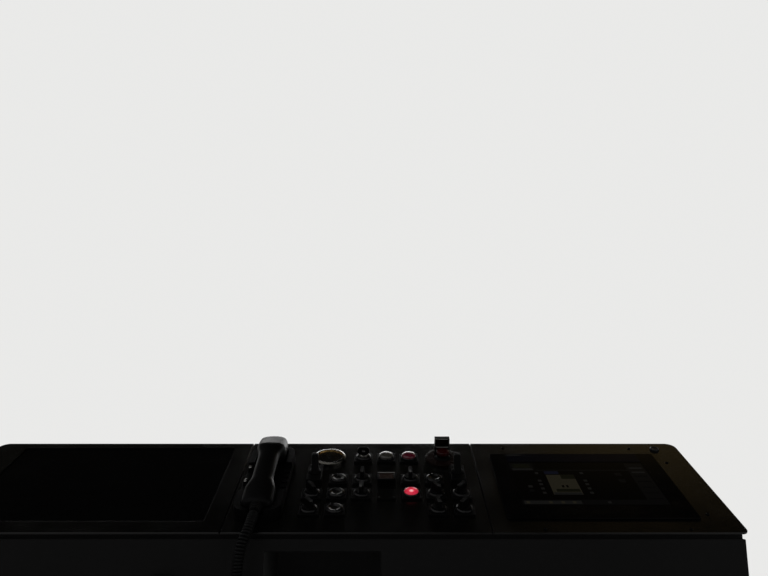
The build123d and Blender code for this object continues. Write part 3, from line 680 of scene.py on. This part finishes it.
class DeskLook(bpy.types.PropertyGroup):
    """Colours of the desk."""

    cabinet: colour_of("Cabinet", "Powder coat of the cabinet", (0.0046, 0.0046, 0.0047))
    top: colour_of("Top", "Powder coat of the sloping top", (0.0018, 0.0018, 0.0017))
    # Inside: paint made paler than the cabinet's, as painted light in the pocket's shade
    inside: colour_of("Inside", "Paint inside the pocket", (0.045, 0.045, 0.045))
    plastic: colour_of("Plastic", "Black plastic of the controls", (0.0024, 0.0024, 0.0026))
    metal: colour_of("Metal", "Plated steel of bezels, locks and hinges", (0.6, 0.6, 0.58))


class DeskCord(bpy.types.PropertyGroup):
    """Sizes of the curly cord."""

    length: length_of("Length", "Length of the wire along its turns", 3.4)
    wire: length_of("Wire", "Diameter of the wire", 0.0048)
    turn: length_of("Turn", "Diameter of a turn, at the wire's middle", 0.0132)
    lead: length_of("Lead", "Straight run at each end, before the first turn", 0.01)


class DeskStage(bpy.types.PropertyGroup):
    """Floor, light and camera."""

    paper: colour_of("Paper", "Colour of the floor and backdrop", (0.82, 0.82, 0.81))
    key: bpy.props.FloatProperty(
        name="Key light", description="Power of the large soft light", default=85, min=0
    )
    lens: bpy.props.FloatProperty(
        name="Lens", description="Focal length of the camera in millimetres", default=32.81
    )


# ---- Pieces ----------------------------------------------------------------------------------


class DESK_OT_cabinet(bpy.types.Operator):
    """Finishes the sheet steel of the cabinet and adds its fasteners"""

    bl_idname = "desk.cabinet"
    bl_label = "Cabinet"

    def execute(self, context):
        shell = ["plinth", "floor_pan", "side_left", "side_right", "partition_left"]
        shell += ["partition_right", "back_panel", "rear_ledge", "front_rail", "apron"]
        shell += ["door_frame", "door_left", "door_centre", "door_right"]
        dress("cabinet coat", *shell)
        # The pocket's paint is partly painted light, pale against its shade
        dress("black paint", "pocket_liner")
        dress("inner plastic", "contact_blocks", "monitor_housing", "electronics_block")
        dress("plated steel", "hinges", "lock_left", "lock_centre", "lock_right")
        # Screws along the edges of the back: x, height
        edge, foot, top = 676, 112, 950
        places = [(x, z) for x in (-edge, edge) for z in (foot, 300, 500, 700, top)]
        places += [(x, z) for x in (-338, 0, 338) for z in (foot, top)]
        back = [moved(screw_head(4, 1.8), (x, z, 187)) for x, z in places]
        piece("back_screws", joined(*back), ["dark steel"], place=BACK)
        return {"FINISHED"}


class DESK_OT_top(bpy.types.Operator):
    """Finishes the sloping top and adds its screws and the turn lock"""

    bl_idname = "desk.top"
    bl_label = "Sloping top"

    def execute(self, context):
        dress("top coat", "top_left", "top_centre", "top_right")
        screws = [(341.5, 299), (600, 296), (655, 237), (654, 55), (365, 10), (607, 10)]
        heads = [moved(screw_head(3.2, 1.4), (x, y, 0)) for x, y in screws]
        piece("top_screws", joined(*heads), ["dull black plastic"])
        barrel = [(0, 3.2), (5.2, 3.2), (5.6, 4), (7.4, 4), (8.6, 3), (9, 0), (0, 0)]
        slot = block(span(2.2), span(8.8), (3.0, 3.45))
        lock = moved(joined(turned(barrel, 36), (slot, 1)), (651, 292, 0), turn=25)
        piece("turn_lock", lock, ["dark steel", "black plastic"], replaces=["panel_lock"])
        return {"FINISHED"}


def plates(rows, foot, top, step=0.0):
    """Plates from rows of finish, x from and to, y from and to, each a step thicker."""
    return [
        (block((x0, x1), (y0, y1), (foot, top + step * number)), finish)
        for number, (finish, x0, x1, y0, y1) in enumerate(rows)
    ]


class DESK_OT_screens(bpy.types.Operator):
    """Finishes the monitor and makes the touch panel's glass front and its display"""

    bl_idname = "desk.screens"
    bl_label = "Screens"

    def execute(self, context):
        dress("screen glass", "monitor_screen")
        dress("panel glass", "touch_screen", "touch_frame")
        # Glass front round the display, with a darker blue strip behind it and a mark on it
        front = [
            (0, 330, 341, 45, 268),
            (0, 602, 612, 45, 268),
            (0, 341, 602, 45, 77.5),
            (1, 341, 602, 235.5, 268),
        ]
        mark = plates([(2, 342, 372, 260, 266)], 2.9, 3.16)
        piece(
            "panel_front",
            joined(*plates(front, 2.9, 3.1), *mark),
            ["panel glass", "title glass", "display light"],
        )
        # Marks of the display: finish, x from and to, y from and to
        marks = [
            (5, 341.5, 601.5, 78, 235),
            (2, 341.6, 387, 201, 232),
            (1, 347, 380, 212, 227),
            (4, 345, 384, 203.5, 210),
            (5, 388, 564, 206, 231),
            (2, 388, 566, 200.5, 205),
            (3, 403, 430, 188, 199),
            (2, 566, 601, 82, 229),
            (2, 341.6, 601, 81, 97),
            (4, 345, 447, 83, 94),
            (2, 536, 549, 182, 193),
            (2, 536, 549, 157, 169),
            (4, 363, 371, 139, 147),
            (2, 363, 371, 125, 133),
            (0, 404, 457, 114, 185),
            (1, 431, 457, 170, 184.5),
            (1, 412, 455, 124, 134),
            (4, 405, 456, 114, 122),
        ]
        columns, rows = (385, 470.5), (117, 132, 147, 160, 188)
        marks += [(4, x, x + 6.5, y, y + 7) for x in columns for y in rows]
        marks += [(0, x, x + 6, 85, 92) for x in (349, 389, 411, 431)]
        marks += [(4, 493, 499, 85, 92), (5, 425, 429, 139, 147), (5, 433, 437, 139, 147)]
        marks += [(4, 571, 596, y, y + 5) for y in (192, 208)]
        marks += [(5, 571, 596, y, y + 0.8) for y in (100, 120, 140, 160, 180)]
        tones = ("beige", "olive", "grey", "blue", "light", "dark")
        names = ["display " + tone for tone in tones]
        shape = joined(*plates(marks, 2.4, 2.53, 0.01))
        piece("display_marks", shape, names)
        return {"FINISHED"}


class DESK_OT_gauge(bpy.types.Operator):
    """Makes the round gauge: bezel, dial with ticks and numbers, needle and glass"""

    bl_idname = "desk.gauge"
    bl_label = "Gauge"

    def execute(self, context):
        centre = spot(*GAUGE)
        bezel = [(32, 0), (32, 5.2), (31.5, 6.2), (30, 7.1), (28.2, 7.8), (27.4, 8), (27, 7.9)]
        lip = [(27.1, 2), (27.1, 5.6), (26.6, 5.4), (25.4, 2.8), (25.4, 2)]
        bezel = turned([*bezel, (27, 0.2)], 64, closed=True)
        ring = joined(bezel, (turned(lip, 64, closed=True), 1))
        finishes = ["dark chrome", "yellow brass"]
        piece("gauge_ring", moved(ring, centre), finishes, replaces=["gauge_bezel"])
        # Dial: its ticks run clockwise from the lower left, with a number at each long one
        first, sweep, ticks, numbered = 225, 270, 24, 4
        dial = [turned([(0, 1.2), (0, 2.1), (26.8, 2.1), (26.8, 1.2)], 64)]
        for number in range(ticks + 1):
            angle = first - number * sweep / ticks
            long = number % numbered == 0
            width, foot = (1, 20) if long else (0.5, 22)
            tick = block(span(width), (foot, 24.8), (2, 2.25))
            dial.append((moved(tick, turn=angle - 90), 1))
            if long:
                place = Matrix.Rotation(math.radians(angle), 3, "Z") @ Vector((16.4, 0, 2.15))
                digits = lettered(str(number // numbered * 2), 5.4, 0.15)
                dial.append((moved(digits, place), 1))
        needle = moved(block(span(1.8), (-6, 19), (3.2, 3.9), draft=0.2), turn=48)
        hub = turned([(0, 2.1), (3.4, 2.1), (3.2, 4.4), (2.4, 4.8), (0, 4.8)], 24)
        shape = moved(joined(*dial, (joined(needle, hub), 1)), centre)
        piece("gauge_dial", shape, ["dial face", "black plastic"], replaces=["gauge_pointer"])
        dress("gauge glass", "gauge_glass")
        return {"FINISHED"}


class DESK_OT_buttons(bpy.types.Operator):
    """Makes the square switch bases, their rings and every push button"""

    bl_idname = "desk.buttons"
    bl_label = "Push buttons"

    def execute(self, context):
        raised = [KEY, WHITE_BUTTON, RED_BUTTON, LIT_BUTTON]
        places = BLACK_BUTTONS + [(column, row) for column, row, turn in SELECTORS] + raised
        # Half outlines: radius, height
        rim = [(15, 4), (15, 5.8), (14.7, 6.5), (13.9, 7.2), (12.8, 7.8), (12.2, 8)]
        rim += [(12, 8), (12, 4)]
        cap = [(0, 5), (11.8, 5), (11.8, 7.8), (11.5, 8.4), (10.9, 8.75), (10.2, 8.6), (6.4, 6.9)]
        cap += [(5.4, 6.7), (0, 6.7)]
        lens = [(0, 5), (13.7, 5), (13.7, 8.6), (13.4, 9.5), (12.5, 10.4), (11.1, 11.2)]
        lens += [(9, 11.8), (6, 12.25), (3, 12.45), (0, 12.5)]
        glow = [(0, 5), (12.9, 5), (12.9, 8), (12.3, 9.2), (10.8, 10.2), (7.6, 11), (0, 11.5)]
        bases = [
            moved(block(span(36.5), span(36.5), (0, 4), 2.4, rim=0.9, draft=0.42), spot(*place))
            for place in places
        ]
        rings = [moved(turned(rim, 48, closed=True), spot(*place)) for place in places]
        caps = [moved(turned(cap, 40), spot(*place)) for place in BLACK_BUTTONS]
        piece("switch_frames", joined(*bases), ["dull black plastic"], replaces=["switch_bases"])
        piece("switch_rings", joined(*rings), ["smooth black plastic"], replaces=["bezel_rings"])
        piece("push_caps", joined(*caps), ["smooth black plastic"], replaces=["black_caps"])
        for name, place, outline, finish in (
            ("white_button", WHITE_BUTTON, lens, "white lens"),
            ("red_button", RED_BUTTON, lens, "red lens"),
            ("lit_button", LIT_BUTTON, glow, "lit lens"),
        ):
            shape = moved(turned(outline, 44), spot(*place))
            piece(name + "_lens", shape, [finish], replaces=[name])
        return {"FINISHED"}


class DESK_OT_selectors(bpy.types.Operator):
    """Makes the turn selectors, each with its handle and white line"""

    bl_idname = "desk.selectors"
    bl_label = "Turn selectors"

    def execute(self, context):
        knobs = []
        for column, row, turn in SELECTORS:
            disc = turned([(0, 5), (11.8, 5), (11.8, 9.5), (11.1, 10.4), (0, 10.5)], 36)
            handle = block(span(9), span(25), (9.5, 23.5), 4.2, rim=1.6, draft=0.9, steps=4)
            line = block(span(1.2), (4, 10.4), (23.4, 23.6), 0.3)
            knobs.append(moved(joined(disc, handle, (line, 1)), spot(column, row), turn=-turn))
        finishes = ["dull black plastic", "white print"]
        piece("selector_handles", joined(*knobs), finishes, replaces=["selector_knobs"])
        return {"FINISHED"}


class DESK_OT_key_switch(bpy.types.Operator):
    """Makes the lock of the key switch and finishes its key"""

    bl_idname = "desk.key_switch"
    bl_label = "Key switch"

    def execute(self, context):
        barrel = [(0, 10), (6.2, 10), (6.6, 10.5), (8, 10.9), (9.4, 10.3), (10, 9.2)]
        barrel += [(10, 5), (0, 5)]
        slot = block(span(3), span(10), (9.8, 10.1))
        shape = moved(joined(turned(barrel), (slot, 1)), spot(*KEY))
        piece("key_lock", shape, ["dark chrome", "black plastic"], replaces=["key_barrel"])
        dress("dull black plastic", "key")
        return {"FINISHED"}


class DESK_OT_levers(bpy.types.Operator):
    """Makes the two lever switches, each with its long base and round collar"""

    bl_idname = "desk.levers"
    bl_label = "Lever switches"

    def execute(self, context):
        crown = [(12, 8), (12, 11.6), (11.5, 12.6), (9.6, 13.6), (8.8, 13.8), (0, 13.8), (0, 8)]
        bases, levers = [], []
        for column in LEVER_COLUMNS:
            place = Vector((spot(column, 2).x, 183, 0))
            base = block(span(30), span(60), (0, 10), 3, rim=1.6, draft=1.05)
            bases.append(moved(joined(base, (turned(crown), 1)), place))
            # The lever's upper end is thinner and leans away from the driver
            top = 40
            lever = block(span(13), span(20), (13.6, top))
            upper = [vert for vert in lever.verts if vert.co.z > top - 1]
            bmesh.ops.scale(lever, vec=(1, 0.55, 1), verts=upper)
            bmesh.ops.translate(lever, vec=(0, 15, 0), verts=upper)
            edges = [edge for edge in lever.edges if any(vert in upper for vert in edge.verts)]
            soften(lever, edges, 2.4, 4)
            levers.append(moved(lever, place))
        finishes = ["dull black plastic", "smooth black plastic"]
        piece("lever_holders", joined(*bases), finishes, replaces=["lever_bases"])
        piece("lever_handles", joined(*levers), ["dull black plastic"], replaces=["levers"])
        return {"FINISHED"}


class DESK_OT_emergency_stop(bpy.types.Operator):
    """Makes the emergency button with its collar and guard"""

    bl_idname = "desk.emergency_stop"
    bl_label = "Emergency button"

    def execute(self, context):
        place = spot(*EMERGENCY)
        # Half outlines: radius, height
        cap = [(0, 11.6), (12, 11.6), (12.5, 12.2), (12.5, 16.4), (12, 17.8), (10.6, 18.6)]
        cap += [(6, 19), (0, 19.1)]
        # The stem under the red cap is black plastic: painted shade below the cap
        painted_shade_stem = [(0, 0), (16.4, 0), (16.4, 4.2), (15.8, 4.8), (11, 6.6), (11, 11.5), (0, 11.5)]
        plate = [(17, 0), (17, 4.5), (17.6, 5), (32.6, 5), (33.8, 4.4), (34.2, 3.2), (34.2, 0)]
        piece(
            "emergency_mushroom",
            moved(joined(turned(cap, 48), (turned(painted_shade_stem, 48), 1)), place),
            ["mushroom red", "dull black plastic"],
            replaces=["emergency_button"],
        )
        collar = moved(turned(plate, 64, closed=True), place)
        piece("emergency_plate", collar, ["dark red lens"], replaces=["emergency_collar"])
        # Guard: a block open to the front on a foot, with steel round its opening and dark red
        # inside it; a pale strip of white print below its opening is a painted highlight
        front, back, parting = 17, 30, 16.5
        window = block(span(30), (front, back), (parting, 35))
        face = min(window.faces, key=lambda face: face.calc_center_median().y)
        recess(window, face, margin=1.6, depth=10.8)
        soften(window, creases(window), 0.6, 2)
        foot = block(span(30), (front, back), (5, parting + 0.1))
        # Pale strip in white print: painted highlight along the lower edge of the opening
        highlight_sill = block(span(22), (front - 0.6, front + 0.2), (parting + 0.2, parting + 1.7))
        guard = joined(window, foot, (highlight_sill, 3))
        for face in guard.faces:
            middle = face.calc_center_median()
            if face.material_index == 0 and middle.z > parting + 0.1 and middle.y < front + 0.1:
                face.material_index = 1
            elif back - 3 < middle.y < back - 1.5:
                face.material_index = 2
        piece(
            "emergency_cover",
            moved(guard, place),
            ["black plastic", "plated steel", "dark red lens", "white print"],
            replaces=["emergency_guard"],
        )
        return {"FINISHED"}


class DESK_OT_indicators(bpy.types.Operator):
    """Makes the indicator, finishes the blank plate and adds the plate's screws"""

    bl_idname = "desk.indicators"
    bl_label = "Indicators"

    def execute(self, context):
        width, depth, height = 33, 26, 10
        holder = block(span(width), span(depth), (0, height))
        crown = max(holder.faces, key=lambda face: face.calc_center_median().z)
        recess(holder, crown, margin=3, depth=2.6)
        outer = [
            edge
            for edge in creases(holder)
            if min(vert.co.z for vert in edge.verts) > height - 1
            and (
                min(abs(vert.co.x) for vert in edge.verts) > width / 2 - 0.5
                or min(abs(vert.co.y) for vert in edge.verts) > depth / 2 - 0.5
            )
        ]
        soften(holder, outer, 1.8, 5)
        # A white print strip along the holder's rear top edge: a painted highlight on that edge
        strip = block(span(32.4), (10.4, 12.8), (9.4, 10.3), 0.4, rim=0.3)
        shape = moved(joined(holder, (strip, 1)), spot(*INDICATOR))
        finishes = ["dull black plastic", "white print"]
        piece("indicator_holder", shape, finishes, replaces=["indicator_block"])
        window = block(span(26.8), span(19.8), (7.2, 9.9), 1, rim=1.2)
        pane = moved(window, spot(*INDICATOR))
        piece("indicator_pane", pane, ["smoked lens"], replaces=["indicator_window"])
        dress("dull black plastic", "blank_plate")
        places = [spot(*BLANK) + Vector((x, -10.5, 2)) for x in span(27)]
        heads = [moved(screw_head(2.2, 0.9), place) for place in places]
        piece("blank_screws", joined(*heads), ["dark steel"])
        return {"FINISHED"}


class DESK_OT_handset(bpy.types.Operator):
    """Makes the telephone handset and finishes its cradle"""

    bl_idname = "desk.handset"
    bl_label = "Handset and cradle"

    def execute(self, context):
        dress("dull black plastic", "handset_cradle")
        clips = [
            moved(block(span(5.2), span(9.2), (20.4, 21.8), 1.6, rim=1), (-155.2, y, 0))
            for y in (133, 183)
        ]
        piece("cradle_clips", joined(*clips), ["plated steel"])
        # Sections along the handset, close together at its ends: it is wide and deep over the
        # ear and mouth pieces, slim along the grip and highest at the ear
        half_length, middle, sections = 107.5, 148, 40
        stations = []
        for number in range(sections + 1):
            along = -math.cos(math.pi * number / sections)
            out = abs(along) * half_length
            end = 1 - math.sqrt(1 - (max(0.0, out - 96.5) / 11) ** 2)
            half = 20 + 8 * eased(out, 34, 66) - 10 * end
            low = 27 - 14.6 * eased(out, 42, 60) + 1.8 * end
            fall = 0.24 * max(0, along * half_length - 61)
            high = 51 + 13 * along - 2 * along**2 - fall - 3 * end
            stations.append((middle + along * half_length, half, low, high, 8 - 2 * end))
        shapes = [smoothed(lofted(stations), 2)]
        cup = [(0, -0.4), (21, -0.4), (22, 0.2), (22, 3), (0, 3)]
        shapes += [(moved(turned(cup), (0, y, 12.6)), 1) for y in (68, 228)]
        piece(
            "handset_shell",
            moved(joined(*shapes), (HANDSET_X, 0, 0)),
            ["handset plastic", "black plastic"],
            "handset_body",
            replaces=["handset"],
            sharp=60,
        )
        return {"FINISHED"}


def polyline(points, kind="POLY"):
    """Curve through points, or near them when it is a smooth one."""
    curve = bpy.data.curves.new("line", "CURVE")
    curve.dimensions = "3D"
    spline = curve.splines.new(kind)
    spline.points.add(len(points) - 1)
    for point, place in zip(spline.points, points):
        point.co = (*place, 1)
    return curve


def smooth_line(route):
    """Points along the smooth line of a route."""
    curve = polyline(route, "NURBS")
    spline = curve.splines[0]
    spline.order_u = 3
    spline.use_endpoint_u = True
    spline.resolution_u = 48
    mesh = mesh_of(curve)
    points = [vert.co.copy() for vert in mesh.vertices]
    bpy.data.meshes.remove(mesh)
    return points


def wound(line, sizes):
    """Points of a wire that winds round a line, with a straight lead at each end."""
    steps = [(after - before).length for before, after in zip(line, line[1:])]
    axis = sum(steps)
    turns = math.sqrt(sizes.length**2 - axis**2) / (math.pi * sizes.turn)
    count = int(turns * POINTS_TO_A_TURN)
    wire, side = [], Vector((1, 0, 0))
    index, passed = 0, 0.0
    for number in range(count + 1):
        along = axis * number / count
        while index < len(steps) - 1 and passed + steps[index] < along:
            passed += steps[index]
            index += 1
        ahead = (line[index + 1] - line[index]).normalized()
        centre = line[index] + ahead * (along - passed)
        side = (side - ahead * side.dot(ahead)).normalized()
        radius = sizes.turn / 2 * eased(min(along, axis - along), 0, sizes.lead)
        angle = math.tau * turns * number / count
        across = ahead.cross(side)
        wire.append(centre + radius * (side * math.cos(angle) + across * math.sin(angle)))
    return wire


class DESK_OT_cord(bpy.types.Operator):
    """Winds the curly cord along its route, with its ribbed boot and its gland"""

    bl_idname = "desk.cord"
    bl_label = "Curly cord"

    def execute(self, context):
        sizes = context.scene.desk_cord
        # From the boot on the handset, down in front of the apron and up to the gland
        route = [
            (-0.120, -0.17802, 0.88229),
            (-0.120, -0.21427, 0.86539),
            (-0.132, -0.236, 0.830),
            (-0.137, -0.230, 0.758),
            (-0.140, -0.217, 0.688),
            (-0.176, -0.216, 0.652),
            (-0.228, -0.214, 0.652),
            (-0.264, -0.213, 0.688),
            (-0.264, -0.213, 0.738),
        ]
        wire = wound(smooth_line(route), sizes)
        winding = polyline(wire)
        winding.bevel_depth = sizes.wire / 2
        winding.bevel_resolution = 2
        winding.use_fill_caps = True
        mesh = mesh_of(winding)
        mesh.materials.clear()
        mesh.materials.append(finish_named("black rubber"))
        mesh.shade_smooth()
        cord = bpy.data.objects.new("curly_cord", mesh)
        context.scene.collection.objects.link(cord)
        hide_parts("handset_cord")
        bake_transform(cord)
        # Boot: four ribs with a groove after each, narrower towards the cord
        groove, rib_pitch = 8.5, 4.3
        boot = [(0, 0)]
        for number in range(4):
            foot = number * rib_pitch
            wide = 11 - number * 0.625
            boot += [(wide - 0.3, foot), (wide, foot + 0.5), (wide, foot + 2.6)]
            boot += [(wide - 0.4, foot + 3.1), (groove, foot + 3.2), (groove, foot + rib_pitch)]
        boot[-1] = (0, boot[-2][1])
        ribbed = moved(turned(boot, 32), (HANDSET_X, 40.5, 24.2), tilt=90)
        piece("ribbed_boot", ribbed, ["black rubber"], "handset_body", replaces=["cord_boot"])
        dress("coarse black plastic", "cord_gland")
        return {"FINISHED"}


def paper_finish(colour):
    """Matt paper under the desk, which turns even behind it, where it stands for the backdrop."""
    paper = bpy.data.materials.new("paper")
    nodes = Nodes(paper)
    place = nodes.node("ShaderNodeTexCoord").outputs["Object"]
    (back,) = nodes.amounts("ShaderNodeSeparateXYZ", "Y", values={0: place})
    rays = ("Is Camera Ray", "Is Glossy Ray", "Is Transmission Ray")
    camera, glossy, through = nodes.amounts("ShaderNodeLightPath", *rays)
    share = camera.most(glossy).most(through) * nodes.band(back, 0.8, 2.2)
    matt = nodes.node("ShaderNodeBsdfDiffuse", {}, {"Color": colour})
    even = nodes.node("ShaderNodeEmission", {}, {"Color": colour})
    values = {0: share, 1: matt.outputs[0], 2: even.outputs[0]}
    blend = nodes.node("ShaderNodeMixShader", {}, values)
    nodes.node("ShaderNodeOutputMaterial", {}, {"Surface": blend.outputs[0]})
    return paper


def add_backdrop(paper):
    """Floor that curves up into a backdrop behind the desk."""
    front, start, bend, top, width = -7, 3, 1.2, 3.4, 18
    turns = [math.radians(90 * step / 12) for step in range(1, 13)]
    # Side view in metres: how far back, how high
    profile = [(front, 0), (start, 0)]
    profile += [(start + bend * math.sin(turn), bend - bend * math.cos(turn)) for turn in turns]
    profile += [(start + bend, top)]
    sweep = bmesh.new()
    verts = [sweep.verts.new((-width / 2, y, z)) for y, z in profile]
    edges = [sweep.edges.new(pair) for pair in zip(verts, verts[1:])]
    grown = bmesh.ops.extrude_edge_only(sweep, edges=edges)
    far = [item for item in grown["geom"] if isinstance(item, bmesh.types.BMVert)]
    bmesh.ops.translate(sweep, vec=(width, 0, 0), verts=far)
    bmesh.ops.recalc_face_normals(sweep, faces=sweep.faces)
    mesh = bpy.data.meshes.new("backdrop")
    sweep.to_mesh(mesh)
    sweep.free()
    mesh.materials.append(paper)
    mesh.shade_smooth()
    backdrop = bpy.data.objects.new("backdrop", mesh)
    bpy.context.scene.collection.objects.link(backdrop)


def add_room(colour):
    """Soft light from all round, which the camera sees as paper."""
    room = bpy.data.worlds.new("room")
    bpy.context.scene.world = room
    nodes = Nodes(room)
    way = nodes.node("ShaderNodeTexCoord").outputs["Generated"]
    across, back, up = nodes.amounts("ShaderNodeSeparateXYZ", "X", "Y", "Z", values={0: way})
    # Brightest low behind the desk, dim above it and dark overhead
    stops = [
        (0.0, (0.12, 0.12, 0.12)),
        (0.03, (0.82, 0.82, 0.81)),
        (0.15, (0.82, 0.82, 0.81)),
        (0.5, (0.065, 0.06, 0.05)),
        (0.735, (0.027, 0.024, 0.018)),
        (0.82, (0.006, 0.006, 0.006)),
    ]
    level = nodes.node("ShaderNodeValToRGB", {"stops": stops}, {"Fac": up}).outputs[0]
    warm = (
        nodes.band(across, 0.12, 0.36) * nodes.band(up, 0.5, 0.65) * nodes.band(back, 0.545, 0.585)
    )
    level = nodes.mix(warm, level, (0.34, 0.24, 0.1))
    (seen,) = nodes.amounts("ShaderNodeLightPath", "Is Camera Ray")
    values = {
        "Color": nodes.mix(seen, level, colour),
        "Strength": seen.most(0.08 + nodes.band(back, 0.35, 0.8) * 0.92),
    }
    sky = nodes.node("ShaderNodeBackground", {}, values)
    nodes.node("ShaderNodeOutputWorld", {}, {"Surface": sky.outputs[0]})


def add_lamp(name, place, width, height, power, target):
    """Rectangular soft lamp that faces a point."""
    lamp = bpy.data.lights.new(name, "AREA")
    lamp.shape = "RECTANGLE"
    lamp.size = width
    lamp.size_y = height
    lamp.energy = power
    holder = bpy.data.objects.new(name, lamp)
    holder.location = place
    holder.visible_camera = False
    way = Vector(target) - Vector(place)
    holder.rotation_euler = way.to_track_quat("-Z", "Y").to_euler()
    bpy.context.scene.collection.objects.link(holder)


class DESK_OT_stage(bpy.types.Operator):
    """Sets the floor, the backdrop, the lights and the camera"""

    bl_idname = "desk.stage"
    bl_label = "Stage"

    def execute(self, context):
        scene = context.scene
        setup = scene.desk_stage
        add_backdrop(paper_finish(setup.paper))
        add_room(setup.paper)
        # Lamps: name, place, width and height in metres, power, point that it faces
        add_lamp("key", (-2.2, -2.3, 4), 7.5, 7.5, setup.key, (0, 0, 0.7))
        add_lamp("fill", (2.4, -1.9, 1.9), 3, 3, setup.key * 0.16, (0, 0, 0.7))
        add_lamp("rear", (0, 2.7, 1.8), 1.9, 1.5, setup.key * 0.5, (0, 0, 0.95))
        lens = bpy.data.cameras.new("camera")
        lens.lens = setup.lens
        lens.sensor_width = 36
        camera = bpy.data.objects.new("camera", lens)
        camera.location = CAMERA_PLACE
        camera.rotation_euler = (CAMERA_TILT, 0, 0)
        scene.collection.objects.link(camera)
        scene.camera = camera
        scene.view_settings.view_transform = "Standard"
        return {"FINISHED"}


class DESK_PT_sidebar(bpy.types.Panel):
    """Lists the pieces of the desk"""

    bl_idname = "DESK_PT_sidebar"
    bl_label = "Control desk"
    bl_space_type = "VIEW_3D"
    bl_region_type = "UI"
    bl_category = "Desk"

    def draw(self, context):
        column = self.layout.column()
        for operator in OPERATORS:
            column.operator(operator.bl_idname)
        for settings in SETTINGS:
            group = getattr(context.scene, settings)
            for name in group.__annotations__:
                column.prop(group, name)


SETTINGS = {"desk_look": DeskLook, "desk_cord": DeskCord, "desk_stage": DeskStage}
OPERATORS = [
    DESK_OT_stage,
    DESK_OT_cord,
    DESK_OT_cabinet,
    DESK_OT_top,
    DESK_OT_screens,
    DESK_OT_gauge,
    DESK_OT_buttons,
    DESK_OT_selectors,
    DESK_OT_key_switch,
    DESK_OT_levers,
    DESK_OT_emergency_stop,
    DESK_OT_indicators,
    DESK_OT_handset,
]


def register():
    for settings, group in SETTINGS.items():
        bpy.utils.register_class(group)
        setattr(bpy.types.Scene, settings, bpy.props.PointerProperty(type=group))
    for thing in [*OPERATORS, DESK_PT_sidebar]:
        bpy.utils.register_class(thing)


def unregister():
    for thing in [DESK_PT_sidebar, *reversed(OPERATORS)]:
        bpy.utils.unregister_class(thing)
    for settings, group in SETTINGS.items():
        delattr(bpy.types.Scene, settings)
        bpy.utils.unregister_class(group)


def main():
    register()
    for operator in OPERATORS:
        group, name = operator.bl_idname.split(".")
        getattr(getattr(bpy.ops, group), name)()


if __name__ == "__main__":
    main()
